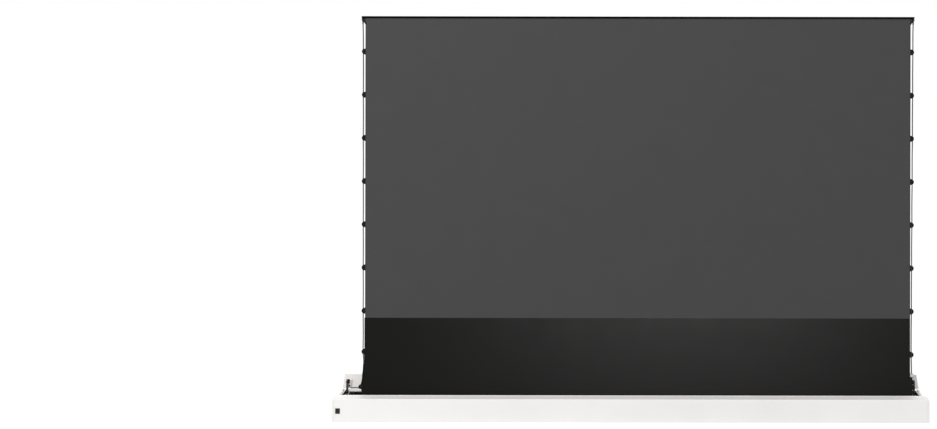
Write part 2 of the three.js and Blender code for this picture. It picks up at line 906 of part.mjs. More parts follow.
function topBar() {
  const rear = barFront + barDepth;
  const grooveMid = fabricFront + fabricThickness / 2;
  const grooveFrom = grooveMid - barGroove / 2;
  const grooveTo = grooveMid + barGroove / 2;
  const section = outline([
    [barFront, barBottom, barRound / 2],
    [grooveFrom, barBottom],
    [grooveFrom, barBottom + barGrooveDepth],
    [grooveTo, barBottom + barGrooveDepth],
    [grooveTo, barBottom],
    [rear, barBottom, barRound],
    [rear, barTop, barRound],
    [barFront, barTop, barRound],
  ]);
  const chamberFrom = grooveTo + barWall;
  const chamberMid = (chamberFrom + rear) / 2;
  const low = barBottom + barWall;
  const high = barTop - barWall;
  return cutAway(
    alongX(section, barLeft + barCap + fit, barRight - barCap - fit),
    alongX(rectangle(chamberFrom, low, chamberMid - barWall, high), barLeft, barRight),
    alongX(rectangle(chamberMid, low, rear - barWall, high), barLeft, barRight),
  );
}

// End cap with an ear below it that holds the tension cord.
function topBarCap() {
  const rear = barFront + barDepth;
  const plate = alongX(rectangle(barFront, barBottom, rear, barTop, barRound), 0, barCap);
  const earRear = fabricFront + fabricThickness / 2 + earThickness / 2;
  const ear = outline([
    [0, barBottom - earDrop, barCap / 2],
    [barOverhang - cordOut + clipRadius, barBottom - earDrop, barCap / 2],
    [barOverhang - overrun, barBottom - fit],
    [barCap, barBottom - fit],
    [barCap, barBottom + overrun],
    [0, barBottom + overrun],
  ]);
  return joined(
    plate,
    alongY(withHoles(ear, circle(barOverhang - cordOut, barBottom - earDrop / 2, earHole)), earRear - earThickness, earRear),
  );
}

place(screen, "top_bar", topBar(), blackAnodised, atFront);
place(screen, "top_bar_cap_left", topBarCap(), blackPlastic, [barLeft, frontY, 0]);
place(screen, "top_bar_cap_right", mirrored(topBarCap()), blackPlastic, [barRight, frontY, 0]);

// Arms: each side has a lower arm on a shoulder bracket, an upper arm and a hanger under the bar.
// The elbows point inwards. An arm is drawn from its lower pivot upwards.

function armOutline() {
  const half = armWidth / 2;
  const shape = new THREE.Shape();
  const meet = Math.asin(half / armBoss);
  addArc(shape, 0, 0, armBoss, Math.PI / 2 + meet, (5 * Math.PI) / 2 - meet, 3);
  addArc(shape, 0, armLength, armBoss, meet - Math.PI / 2, (3 * Math.PI) / 2 - meet, 3);
  shape.closePath();
  return shape;
}

function arm(depth, lowerBore, upperBore, pocketFace) {
  const shape = withHoles(armOutline(), circle(0, 0, lowerBore), circle(0, armLength, upperBore));
  const half = armPocketWidth / 2;
  const pocket = rectangle(-half, armPocketEnd, half, armLength - armPocketEnd, half / 2);
  const [from, to] = pocketFace > 0 ? [depth - armPocket, depth + overrun] : [-overrun, armPocket];
  return cutAway(alongY(shape, 0, depth), alongY(pocket, from, to));
}

function elbowPin() {
  const front = -fit - elbowHeadLength;
  const rear = upperArmDepth + armGap + lowerArmDepth + fit + elbowHeadLength;
  return turnedY([
    [front, 0],
    [front, elbowHead],
    [-fit, elbowHead],
    [-fit, elbowRadius],
    [rear - elbowHeadLength, elbowRadius],
    [rear - elbowHeadLength, elbowHead],
    [rear, elbowHead],
    [rear, 0],
  ]);
}

// Shoulder bracket: an upright plate behind the arm with a foot on the floor panel.
function shoulderBracket() {
  const half = shoulderWidth / 2;
  const standing = floorTop - shoulderHeight;
  const face = withHoles(
    outline([
      [-half, standing],
      [half, standing],
      [half, standing + shoulderPlate],
      [shoulderRound, 0, shoulderRound / 2],
      [shoulderRound, shoulderRound, shoulderRound - overrun],
      [-shoulderRound, shoulderRound, shoulderRound - overrun],
      [-shoulderRound, 0, shoulderRound / 2],
      [-half, standing + shoulderPlate],
    ]),
    circle(0, 0, shoulderRadius + fit),
  );
  const footRear = caseDepth - rearTongue - wall - shoulderFootGap - shoulderFront;
  return joined(
    alongY(face, 0, shoulderPlate),
    alongY(
      rectangle(-half, standing, half, standing + shoulderFootThickness),
      shoulderPlate - overrun,
      footRear,
    ),
  );
}

// Housing of the balance spring behind the bracket
function springDrum() {
  const face = shoulderPlate + fit;
  return turnedY([
    [face, shoulderRadius + fit],
    [face, drumRadius],
    [face + drumDepth - drumLip, drumRadius],
    [face + drumDepth - drumLip, drumRadius - drumLip],
    [face + drumDepth - drumStep, drumRadius - drumLip - drumStep],
    [face + drumDepth - drumStep, drumHub],
    [face + drumDepth, drumHub],
    [face + drumDepth, shoulderRadius + fit],
    [face, shoulderRadius + fit],
  ]);
}

function shoulderPin() {
  const front = -shoulderGap - lowerArmDepth + fit;
  const rear = shoulderPlate + fit + drumDepth + fit;
  return turnedY([
    [front, 0],
    [front, shoulderRadius],
    [rear, shoulderRadius],
    [rear, drumHub - drumStep],
    [rear + drumStep, drumHub - drumStep],
    [rear + drumStep, 0],
  ]);
}

// Hanger: a plate below the bar with a welded pin for the upper arm's top pivot.
function hanger() {
  const half = hangerWidth / 2;
  const under = barAbovePivot - fit;
  const face = outline([
    [-half, under],
    [-half, under - hangerThickness],
    [-hangerRound, -hangerRound, hangerRound - overrun],
    [hangerRound, -hangerRound, hangerRound - overrun],
    [half, under - hangerThickness],
    [half, under],
  ]);
  return joined(
    hangerPin(),
    alongY(face, 0, hangerThickness),
    alongY(
      rectangle(-half, under - hangerThickness, half, under),
      hangerThickness - overrun,
      hangerThickness + hangerFlange,
    ),
  );
}

function hangerPin() {
  const rear = hangerThickness + hangerGap + upperArmDepth;
  return turnedY([
    [hangerThickness / 2, 0],
    [hangerThickness / 2, hangerPinRadius],
    [rear, hangerPinRadius],
    [rear, 0],
  ]);
}

for (const { side, sign } of sides) {
  const shoulderX = screenOffset + (sign * armSpacing) / 2;
  const shoulder = new THREE.Group();
  shoulder.position.set(shoulderX, 0, shoulderHeight);
  screen.add(shoulder);
  const bracketY = frontY + shoulderFront;
  place(shoulder, `shoulder_bracket_${side}`, shoulderBracket(), zincSteel, [0, bracketY, 0]);
  place(shoulder, `spring_drum_${side}`, springDrum(), blackPlastic, [0, bracketY, 0]);
  place(shoulder, `shoulder_pin_${side}`, shoulderPin(), zincSteel, [0, bracketY, 0]);

  const lower = new THREE.Group();
  lower.rotation.y = -sign * lean;
  shoulder.add(lower);
  const lowerArm = arm(lowerArmDepth, shoulderRadius + fit, elbowRadius + fit, 1);
  place(lower, `lower_arm_${side}`, lowerArm, armGrey, [0, frontY + lowerArmFront, 0]);

  const elbow = new THREE.Group();
  elbow.position.set(0, 0, armLength);
  elbow.rotation.y = 2 * sign * lean;
  lower.add(elbow);
  place(elbow, `elbow_pin_${side}`, elbowPin(), zincSteel, [0, frontY + upperArmFront, 0]);
  const upperArm = arm(upperArmDepth, elbowRadius + fit, hangerPinRadius + fit, -1);
  place(elbow, `upper_arm_${side}`, upperArm, armGrey, [0, frontY + upperArmFront, 0]);

  const top = new THREE.Group();
  top.position.set(shoulderX, frontY + hangerFront, topPivotZ);
  screen.add(top);
  place(top, `hanger_${side}`, hanger(), blackAnodised);
}

// Lid: drawn closed about its hinge axis, reaching forward, then leaned back by its group

const lid = new THREE.Group();
lid.position.set(0, hingeY, hingeZ);
lid.rotation.x = -lidOpen;
screen.add(lid);

function lidPanel() {
  const top = lidTube / 2;
  const plate = (from) =>
    outline([
      [-lidReach, lidInnerFace, lidThickness / 2 - fit / 2],
      [from, lidInnerFace],
      [from, top],
      [-lidReach, top, lidThickness / 2 - fit / 2],
    ]);
  const chamberFrom = -lidReach + lidThickness / 2 + lidWall;
  const chamberTo = -lidEndRoot - lidWall;
  const pitch = (chamberTo - chamberFrom) / (lidWebs + 1);
  const chambers = Array.from({ length: lidWebs + 1 }, (_, k) =>
    alongX(
      rectangle(
        chamberFrom + k * pitch,
        lidInnerFace + lidWall,
        chamberFrom + (k + 1) * pitch - lidWall,
        top - lidWall,
      ),
      -halfCase,
      halfCase,
    ),
  );
  const halfPanel = halfCase - lidCap - fit;
  return cutAway(
    joined(
      alongX(plate(0), -tubeHalf, tubeHalf),
      alongX(circle(0, 0, lidTube / 2), -tubeHalf, tubeHalf),
      alongX(plate(-lidEndRoot), -halfPanel, halfPanel),
    ),
    alongX(circle(0, 0, lidBore / 2), -halfCase, halfCase),
    ...chambers,
  );
}

function lidEndCap() {
  return alongX(
    outline([
      [-lidReach, lidInnerFace, lidThickness / 2 - fit / 2],
      [-lidEndRoot, lidInnerFace, lidThickness / 4],
      [-lidEndRoot, lidTube / 2, lidThickness / 4],
      [-lidReach, lidTube / 2, lidThickness / 2 - fit / 2],
    ]),
    0,
    lidCap,
  );
}

place(lid, "lid_panel", lidPanel(), whitePaint);
place(lid, "lid_end_cap_left", lidEndCap(), whitePaint, [-halfCase, 0, 0]);
place(lid, "lid_end_cap_right", lidEndCap(), whitePaint, [halfCase - lidCap, 0, 0]);

// Strike pad under the lid, where the lever's roller bears
function strikePad() {
  const face = lidInnerFace - fit;
  return alongX(
    outline([
      [-padStart - padLength, face - padThickness, padThickness / 3],
      [-padStart, face - padThickness, padThickness / 3],
      [-padStart, face],
      [-padStart - padLength, face],
    ]),
    -padWidth / 2,
    padWidth / 2,
  );
}

// Saddles on the rear wall carry the lid's tube.
function saddle() {
  const inner = caseDepth - wall - fit - (caseDepth - hingeInset);
  const front = -saddleReach;
  return cutAway(
    alongX(
      outline([
        [inner, -saddleDrop - saddleReach],
        [inner, -saddleRim],
        [front, -saddleRim],
        [front, -saddleDrop + saddleRim],
      ]),
      -saddleLength / 2,
      saddleLength / 2,
    ),
    alongX(circle(0, 0, lidTube / 2 + fit), -saddleLength, saddleLength),
  );
}

for (const [name, station] of [
  ["hinge_saddle_left", saddleInset - halfCase],
  ["hinge_saddle_middle", 0],
  ["hinge_saddle_right", halfCase - saddleInset],
]) {
  place(screen, name, saddle(), whitePaint, [station, hingeY, hingeZ]);
}

// Lid lever mechanism. The roller at the lever's end follows the strike pad, so the angle between
// lever and lid comes from the pad's face, one roller radius and two fits away.

const padFace = padThickness + fit - lidInnerFace;
const rollerOffset = padFace + fit + rollerRadius;
const slip = Math.asin(
  (rollerOffset - leverForward * Math.sin(lidOpen) - leverDrop * Math.cos(lidOpen)) / leverLength,
);
const leverTilt = Math.PI / 2 - (lidOpen - slip);
const leverPivotY = hingeY - leverForward;
const leverPivotZ = hingeZ - leverDrop;
const springPinY = leverPivotY - Math.sin(leverTilt) * springPinReach - Math.cos(leverTilt) * springPinForward;
const springPinZ = leverPivotZ + Math.cos(leverTilt) * springPinReach - Math.sin(leverTilt) * springPinForward;
const pegY = hingeY - pegForward;

// Drawn upright about its pivot, on the left end: eye at the top, spring pin on the inner face.
function lidLever() {
  const half = leverWidth / 2;
  const shank = outline([
    [-half, 0],
    [half, 0],
    [half - fit, leverLength],
    [-half + fit, leverLength],
  ]);
  const disc = (height, radius) => alongX(circle(0, height, radius), 0, leverThickness);
  const pin = turnedX([
    [leverThickness - overrun, 0],
    [leverThickness - overrun, springPinRadius],
    [leverThickness + 2 * (fit + springMeanRadius + springWire), springPinRadius],
    [leverThickness + 2 * (fit + springMeanRadius + springWire), 0],
  ]).translate(0, -springPinForward, springPinReach);
  return joined(
    cutAway(
      joined(alongX(shank, 0, leverThickness), disc(0, leverBoss), disc(leverLength, eyeRadius)),
      alongX(circle(0, 0, leverPinRadius + fit), -overrun, leverThickness + overrun),
      alongX(circle(0, leverLength, eyeBore), -overrun, leverThickness + overrun),
    ),
    pin,
  );
}

// Axle with a domed head outside the eye and the roller inside it, as one turned piece
function leverRoller() {
  const dome = Array.from({ length: 3 }, (_, k) => {
    const angle = (k / 2) * (Math.PI / 2);
    return [-fit - axleDome * Math.cos(angle), axleHead * Math.sin(angle)];
  });
  const inner = leverThickness + fit;
  return turnedX([
    ...dome,
    [-fit, axleRadius],
    [inner, axleRadius],
    [inner, rollerRadius - fit],
    [inner + fit, rollerRadius],
    [inner + rollerWidth - fit, rollerRadius],
    [inner + rollerWidth, rollerRadius - fit],
    [inner + rollerWidth, 0],
  ]);
}

function leverPin() {
  return turnedX([
    [-spigotHalf - endSpigot / 2, 0],
    [-spigotHalf - endSpigot / 2, leverPinRadius],
    [-cheekX + cheekThickness + fit, leverPinRadius],
    [-cheekX + cheekThickness + fit, 0],
  ]);
}

// Extension spring: a coil along Z with a loop at each end that lies across X
function springGeometry(length) {
  const radius = springMeanRadius;
  const loop = springPinRadius + springWire + fit;
  const points = [];
  const loopTurn = (5 / 3) * Math.PI; // each loop stays open by a sixth of a turn
  for (let k = 0; k <= turnPoints; k += 1) {
    const angle = (k / turnPoints - 1) * loopTurn;
    points.push(new THREE.Vector3(0, loop * Math.cos(angle), loop * Math.sin(angle)));
  }
  const coilLength = length - 2 * springTail;
  const coilSteps = springTurns * turnPoints;
  for (let k = 0; k <= coilSteps; k += 1) {
    const angle = Math.PI / 2 + (k / turnPoints) * 2 * Math.PI;
    points.push(
      new THREE.Vector3(
        radius * Math.cos(angle),
        radius * Math.sin(angle),
        springTail + (k / coilSteps) * coilLength,
      ),
    );
  }
  for (let k = 0; k <= turnPoints; k += 1) {
    const angle = (k / turnPoints) * loopTurn;
    points.push(new THREE.Vector3(0, loop * Math.cos(angle), length + loop * Math.sin(angle)));
  }
  return new THREE.ExtrudeGeometry(circle(0, 0, springWire, 1), {
    steps: points.length,
    bevelEnabled: false,
    curveSegments: arcFacets,
    extrudePath: new THREE.CatmullRomCurve3(points),
  });
}

// Bracket: a cheek beside the lever with a flange on the rear wall. It carries the lid's pivot
// and the inner end of the lever's pin.
function leverBracket() {
  const inner = hingeInset - wall - fit;
  const front = inner - cheekWidth;
  const foot = -cheekDrop;
  const head = lidTube / 2;
  const cheek = withHoles(
    outline([
      [inner, foot],
      [inner, -head],
      [head, head, head - fit],
      [-head, head, head - fit],
      [front, -leverDrop, cheekThickness],
      [front, foot + cheekWidth / 2, cheekThickness],
      [front + cheekWidth / 2, foot],
    ]),
    circle(0, 0, pivotRadius + fit),
    circle(-leverForward, -leverDrop, leverPinRadius + fit),
  );
  return joined(
    alongX(cheek, -cheekX, -cheekX + cheekThickness),
    alongX(
      rectangle(inner - cheekThickness, foot, inner, -lidTube / 2 - cheekThickness),
      -cheekX + cheekThickness - overrun,
      -cheekX + cheekThickness + bracketFlange,
    ),
  );
}

function lidPivot() {
  return turnedX([
    [-cheekX - fit - pivotHeadLength, 0],
    [-cheekX - fit - pivotHeadLength, pivotHead],
    [-cheekX - fit, pivotHead],
    [-cheekX - fit, pivotRadius],
    [-tubeHalf + pivotInsert, pivotRadius],
    [-tubeHalf + pivotInsert, 0],
  ]);
}

for (const { side, sign } of sides) {
  const handed = (geometry) => (sign < 0 ? geometry : mirrored(geometry));
  const onLid = [sign * (leverX - fit - padWidth / 2), 0, 0];
  place(lid, `lid_pad_${side}`, strikePad(), whitePaint, onLid);
  place(screen, `lever_bracket_${side}`, handed(leverBracket()), zincSteel, [0, hingeY, hingeZ]);
  place(screen, `lid_pivot_${side}`, handed(lidPivot()), zincSteel, [0, hingeY, hingeZ]);
  place(screen, `lever_pin_${side}`, handed(leverPin()), zincSteel, [0, leverPivotY, leverPivotZ]);

  const lever = new THREE.Group();
  lever.position.set(sign * (leverX + leverThickness), leverPivotY, leverPivotZ);
  lever.rotation.x = leverTilt;
  screen.add(lever);
  place(lever, `lid_lever_${side}`, handed(lidLever()), zincSteel);
  place(lever, `lever_roller_${side}`, handed(leverRoller()), blackPlastic, [0, 0, leverLength]);

  const spring = new THREE.Group();
  const rise = springPinZ - pegZ;
  const back = springPinY - pegY;
  spring.position.set(sign * wireCentreX, pegY, pegZ);
  spring.rotation.x = Math.atan2(-back, rise);
  screen.add(spring);
  place(spring, `lid_spring_${side}`, handed(springGeometry(Math.hypot(back, rise))), blackAnodised);
}

export default screen;
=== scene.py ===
# %% [markdown]
# # A floor-rising projection screen, dressed piece by piece
#
# The solids of the screen come in as a frame: every piece already has its place and its size.
# This lesson gives them the surfaces of the real thing, and makes anew whatever a plain solid
# can't show: stretched cloth, cords, coil springs, rollers and screws.

# %% Load the frame
import json
import math
import bmesh
import bpy
from mathutils import Matrix, Vector


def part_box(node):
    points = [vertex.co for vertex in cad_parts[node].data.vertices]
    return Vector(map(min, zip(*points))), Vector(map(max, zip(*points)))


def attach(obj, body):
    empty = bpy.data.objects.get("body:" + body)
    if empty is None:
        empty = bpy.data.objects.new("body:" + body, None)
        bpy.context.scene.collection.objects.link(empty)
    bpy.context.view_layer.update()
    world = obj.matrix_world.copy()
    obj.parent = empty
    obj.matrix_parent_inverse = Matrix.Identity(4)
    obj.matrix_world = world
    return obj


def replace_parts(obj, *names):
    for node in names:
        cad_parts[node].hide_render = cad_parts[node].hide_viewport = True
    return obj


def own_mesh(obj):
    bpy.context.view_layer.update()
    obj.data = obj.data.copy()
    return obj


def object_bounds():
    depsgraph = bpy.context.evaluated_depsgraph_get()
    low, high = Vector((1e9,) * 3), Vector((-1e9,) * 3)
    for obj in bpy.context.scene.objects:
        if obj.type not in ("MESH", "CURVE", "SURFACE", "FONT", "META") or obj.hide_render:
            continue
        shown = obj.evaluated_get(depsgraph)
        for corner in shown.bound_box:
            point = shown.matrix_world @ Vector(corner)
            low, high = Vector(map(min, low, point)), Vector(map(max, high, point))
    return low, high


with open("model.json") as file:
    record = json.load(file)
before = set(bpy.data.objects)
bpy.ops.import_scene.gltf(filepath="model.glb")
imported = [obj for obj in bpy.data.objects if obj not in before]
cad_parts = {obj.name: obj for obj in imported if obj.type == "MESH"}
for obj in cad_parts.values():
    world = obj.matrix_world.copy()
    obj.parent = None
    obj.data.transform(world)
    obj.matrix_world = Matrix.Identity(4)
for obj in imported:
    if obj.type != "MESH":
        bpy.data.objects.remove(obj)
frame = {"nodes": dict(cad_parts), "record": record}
solid_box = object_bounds()
mm = 0.001
SIDES = (("left", -1), ("right", 1))
BODY_OF = {node: body for body, nodes in frame["record"]["behaviour"]["bodies"].items() for node in nodes}


def box_of(node):
    """The low corner, the high corner and the middle of a solid."""
    low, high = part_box(node)
    return low, high, (low + high) / 2


# %% [markdown]
# ## The camera
#
# A product photographer stands in front of the right half of the picture and shows the left part
# of the frame empty, so the lens looks straight ahead and is shifted. A shift keeps the upright
# edges parallel, which turning the camera wouldn't. The frame is tilted by a tenth of a degree.

# %% Camera
CAMERA_PLACE = (0.0, -3.365, 1.263)
PIXELS_ACROSS, PIXELS_DOWN = 937, 429
LENS_PIXELS = 801.6
SENSOR_WIDTH = 36
STRAIGHT_AHEAD = (631, 116.1)
LEVEL = math.radians(90)
TILT = math.radians(-0.096)

camera_data = bpy.data.cameras.new("camera")
camera_data.sensor_width = SENSOR_WIDTH
camera_data.lens = LENS_PIXELS / PIXELS_ACROSS * SENSOR_WIDTH
camera_data.shift_x = (PIXELS_ACROSS / 2 - STRAIGHT_AHEAD[0]) / PIXELS_ACROSS
camera_data.shift_y = (STRAIGHT_AHEAD[1] - PIXELS_DOWN / 2) / PIXELS_ACROSS
camera = bpy.data.objects.new("camera", camera_data)
camera.location = CAMERA_PLACE
camera.rotation_euler = (LEVEL, TILT, 0)
bpy.context.collection.objects.link(camera)
bpy.context.scene.camera = camera
bpy.context.scene.view_settings.view_transform = "Standard"
print("lens", round(camera_data.lens, 2), "mm, shifted by", round(camera_data.shift_x, 3), "of its width")

# %% [markdown]
# ## Colours and nodes
#
# Paint cards are written as red, green and blue in hexadecimal, while a shader wants light
# amounts, so one function converts them by the usual formula. A shader is a small graph, so a
# short helper makes a node, sets it and joins its inputs in one go.

# %% Node kit
def linear(card):
    """The light amounts of a colour card such as f1edec."""
    values = [int(card[k:k + 2], 16) / 255 for k in (0, 2, 4)]
    return tuple(v / 12.92 if v <= 0.04045 else ((v + 0.055) / 1.055) ** 2.4 for v in values) + (1,)


class Nodes:
    """Makes nodes in one shader tree."""

    def __init__(self, tree):
        self.nodes, self.links = tree.nodes, tree.links

    def made(self, kind, output, inputs, **settings):
        """The output of a new node. Each input is a plain value or another node's output."""
        node = self.nodes.new(kind)
        for name, value in settings.items():
            setattr(node, name, value)
        for name, value in inputs.items():
            if isinstance(value, bpy.types.NodeSocket):
                self.links.new(value, node.inputs[name])
            else:
                node.inputs[name].default_value = value
        return node.outputs[output]


print("a middle grey is", round(linear("808080")[0], 3), "as light")

# %% [markdown]
# ## A kit for finishes
#
# Every finish below starts from the same shader and gets its grain from noise measured in metres
# on the piece itself, so a grain has a true size. coat() joins the parts: colour, roughness and
# relief each follow a noise.

# %% Finish kit
class Finish(Nodes):
    """A material under construction: one shader, and nodes that share the piece's own metres."""

    def __init__(self, name, metal=0.0, gloss=0.5):
        self.material = bpy.data.materials.new(name)
        self.material.use_nodes = True
        super().__init__(self.material.node_tree)
        self.shader = self.nodes["Principled BSDF"].inputs
        self.shader["Metallic"].default_value = metal
        self.shader["Specular IOR Level"].default_value = gloss
        self.metres = self.made("ShaderNodeTexCoord", "Object", {})

    def noise(self, size, stretch=(1, 1, 1), detail=2.0):
        """Noise whose patches are about size metres across, longer where stretch is below 1."""
        place = self.made("ShaderNodeMapping", "Vector", {"Vector": self.metres, "Scale": stretch})
        return self.made("ShaderNodeTexNoise", "Fac", {"Vector": place, "Scale": 1 / size, "Detail": detail})

    def threads(self, pitch, direction):
        """Bands across one axis, pitch metres apart. The wave node turns ten times in 2 pi."""
        inputs = {"Vector": self.metres, "Scale": math.pi / 10 / pitch}
        return self.made("ShaderNodeTexWave", "Fac", inputs, bands_direction=direction)

    def weave(self, pitch):
        """Two sets of threads that cross."""
        crossing = {0: self.threads(pitch, "X"), 1: self.threads(pitch, "Z")}
        return self.made("ShaderNodeMath", "Value", crossing, operation="MULTIPLY")

    def spread(self, value, low, high, start=0.3, end=0.7):
        """A value between start and end, spread over low to high. Noise seldom leaves 0.3 to 0.7."""
        inputs = {"Value": value, "From Min": start, "From Max": end, "To Min": low, "To Max": high}
        return self.made("ShaderNodeMapRange", "Result", inputs)

    def coat(self, tone, cards, sheen, rough, relief=None, depth=0.0, strength=1.0):
        """Colour between two cards by tone, roughness by sheen, and bumps of this depth by relief."""
        card, shade = (linear(value) for value in cards)
        mixed = {"Factor": self.spread(tone, 0, 1), "A": card, "B": shade}
        colour = self.made("ShaderNodeMix", "Result", mixed, data_type="RGBA")
        self.links.new(colour, self.shader["Base Color"])
        self.links.new(self.spread(sheen, *rough), self.shader["Roughness"])
        if relief:
            bump = {"Height": relief, "Distance": depth, "Strength": strength}
            self.links.new(self.made("ShaderNodeBump", "Normal", bump), self.shader["Normal"])
        return self.material


FINISHES = {}
print("finish kit ready")

# %% [markdown]
# ## Satin white powder coat
#
# The case is folded and extruded aluminium with a satin powder coat. Powder melts into a skin
# with a faint orange peel about a millimetre and a half across, so the gloss is never quite even.
# Noise for the peel, and a much larger noise for the coat's thickness, give that.

# %% White coat
def white_coat(name, *cards):
    finish = Finish(name)
    peel = finish.noise(1.6 * mm, detail=1.0)
    thickness = finish.noise(180 * mm, detail=3.0)
    return finish.coat(thickness, cards, peel, rough=(0.38, 0.5), relief=peel, depth=0.05 * mm, strength=0.35)


FINISHES |= {
    "case_white": white_coat("case_white_coat", "f1efed", "edebe9"),
    "trim_white": white_coat("trim_white_plastic", "f0edeb", "ebe8e6"),
}
# The lid's white is drawn darker: painted shade, for the shade the screen casts on the lid.
lid_painted_shade_white = white_coat("lid_painted_shade_coat", "dfdbd8", "dbd7d4")
print("white coats made")

# %% [markdown]
# ## Cloth
#
# The picture is a coated cloth: matt, even and grey, with a weave so fine that it only shows close
# up. The mask below it is a black cloth with a slight sheen, so it mirrors the pale floor softly.
# Two sets of bands crossing at thread pitch make a plain weave, and a broad noise keeps the sheen
# from being perfectly even.

# %% Cloth
def coated_cloth(name, card, shade, thread, matt, gloss=0.5):
    finish = Finish(name, gloss=gloss)
    mottle = finish.noise(90 * mm, detail=3.0)
    weave = finish.weave(thread)
    rough = (matt - 0.03, matt + 0.03)
    return finish.coat(mottle, (card, shade), mottle, rough, relief=weave, depth=0.08 * mm, strength=0.25)


picture_grey = coated_cloth("picture_grey_cloth", "474747", "464646", 0.6 * mm, matt=0.9, gloss=0.03)
picture_back = coated_cloth("picture_black_backing", "1d1d1e", "1a1a1b", 0.6 * mm, matt=0.75)
mask_black = coated_cloth("mask_black_cloth", "100f0e", "0e0d0c", 0.5 * mm, matt=0.48, gloss=0.06)
FINISHES |= {"picture_grey": picture_grey, "mask_black": mask_black}
print("cloth made")

# %% [markdown]
# ## Metals
#
# Three kinds are left bare: bright zinc on pressed steel, mill aluminium on the tube, and black
# anodised aluminium on the top bar. Zinc crystallises in faint patches. Extruded aluminium has
# fine lines along its length, so its noise is stretched a hundredfold along the bar. Painted
# steel has a fine even grain.

# %% Metals
def zinc_plate(name, *cards):
    finish = Finish(name, metal=1.0)
    patches = finish.noise(7 * mm, detail=4.0)
    scratches = finish.noise(0.5 * mm, stretch=(0.05, 1, 1), detail=2.0)
    return finish.coat(patches, cards, patches, (0.26, 0.42), relief=scratches, depth=0.02 * mm, strength=0.3)


def drawn_metal(name, card, shade, rough, metal, gloss=0.5):
    finish = Finish(name, metal, gloss)
    lines = finish.noise(0.7 * mm, stretch=(0.01, 1, 1), detail=3.0)
    return finish.coat(lines, (card, shade), lines, rough, relief=lines, depth=0.02 * mm, strength=0.3)


def dark_coat(name, *cards):
    finish = Finish(name)
    grain = finish.noise(0.9 * mm, detail=3.0)
    return finish.coat(grain, cards, grain, rough=(0.45, 0.62), relief=grain, depth=0.06 * mm, strength=0.5)


FINISHES |= {
    "zinc_steel": zinc_plate("zinc_steel_bright", "b4b5b8", "c6c7c9"),
    "roller_aluminium": drawn_metal("roller_mill_aluminium", "bdbec0", "cacbcc", (0.3, 0.45), metal=1.0),
    "bar_black": drawn_metal("bar_black_anodised", "030303", "060606", (0.4, 0.55), metal=0.0, gloss=0.02),
    "motor_black": drawn_metal("motor_black_paint", "121213", "18181a", (0.38, 0.5), metal=0.2),
    # The springs' wire is drawn near black: painted shade, for the shade they stand in; the bare wire is
    # bright.
    "spring_black": drawn_metal("spring_wire_painted_shade", "1c1a19", "2a2725", (0.35, 0.5), metal=0.6),
    "arm_grey": dark_coat("arm_grey_coat", "2b2c2e", "313234"),
}
# The levers' steel is drawn dark: painted shade, for the shade they stand in down in the slot.
lever_painted_shade_steel = drawn_metal("painted_shade_lever_metal", "5a5652", "67625d", (0.3, 0.45), metal=1.0)
# The dark coat of the insides is painted shade, for the shade inside the case.
painted_shade_inside = dark_coat("painted_shade_inside_coat", "171514", "1d1a19")
print("metals made")

# %% [markdown]
# ## Plastics, rubber and cord
#
# Moulded plastic has a leathery grain from the mould, rubber is duller and dusty, and the receiver
# window is a clean tinted acrylic. The cords are braided, with strands that lie across each other.

# %% Plastics, rubber and cord
def grained_plastic(name, *cards, rough=(0.42, 0.56)):
    finish = Finish(name, gloss=0.12)
    cells = finish.noise(0.45 * mm, detail=2.0)
    cloud = finish.noise(30 * mm, detail=2.0)
    return finish.coat(cloud, cards, cells, rough, relief=cells, depth=0.04 * mm, strength=0.5)


def clear_window(name, *cards):
    finish = Finish(name, gloss=0.22)
    haze = finish.noise(12 * mm, detail=3.0)
    return finish.coat(haze, cards, haze, rough=(0.05, 0.1))


def braid(name, *cards):
    finish = Finish(name)
    strands = finish.noise(0.7 * mm, stretch=(1, 1, 0.35), detail=1.0)
    return finish.coat(strands, cards, strands, (0.75, 0.9), relief=strands, depth=0.25 * mm, strength=0.6)


FINISHES |= {
    "plastic_black": grained_plastic("plastic_black_grain", "0e0e0e", "131313"),
    "foot_rubber": grained_plastic("foot_rubber_black", "1c1c1c", "262626", rough=(0.8, 0.95)),
    "lens_dark": clear_window("lens_dark_acrylic", "1d1e20", "222325"),
    "cord_grey": braid("cord_grey_braid", "252527", "3e3e40"),
}
print(len(FINISHES), "finishes by slot")

# %% [markdown]
# ## Floor and light
#
# The studio is white all round. Where a ray comes from the lens, or off something glossy, floor
# and room show as white; all other rays meet an ordinary pale floor and a room of even light, so
# nothing is lit more than it should be. The light path node tells the two kinds of ray apart.

# %% Room and floor
ROOM_LIGHT = 0.81
WHITE = (1, 1, 1, 1)
FLOOR_HALF = 30.0
FLOOR_PALE = (0.78, 0.78, 0.78, 1)
FLOOR_SHADOW = (0.22, 0.22, 0.22, 1)
FLOOR_GLOW = 0.86


def switched(kit, lit, seen):
    """Shows seen to the lens, off gloss and through glass, and lit to every other ray."""
    path = kit.nodes.new("ShaderNodeLightPath").outputs
    value = path["Is Camera Ray"]
    for ray in ("Is Glossy Ray", "Is Transmission Ray"):
        value = kit.made("ShaderNodeMath", "Value", {0: value, 1: path[ray]}, operation="MAXIMUM")
    return kit.made("ShaderNodeMixShader", "Shader", {0: value, 1: lit, 2: seen})


def studio_room():
    world = bpy.data.worlds.new("room")
    bpy.context.scene.world = world
    world.use_nodes = True
    kit = Nodes(world.node_tree)
    light = kit.made("ShaderNodeBackground", "Background", {"Color": WHITE, "Strength": ROOM_LIGHT})
    white = kit.made("ShaderNodeBackground", "Background", {"Color": WHITE})
    kit.links.new(switched(kit, light, white), kit.nodes["World Output"].inputs["Surface"])


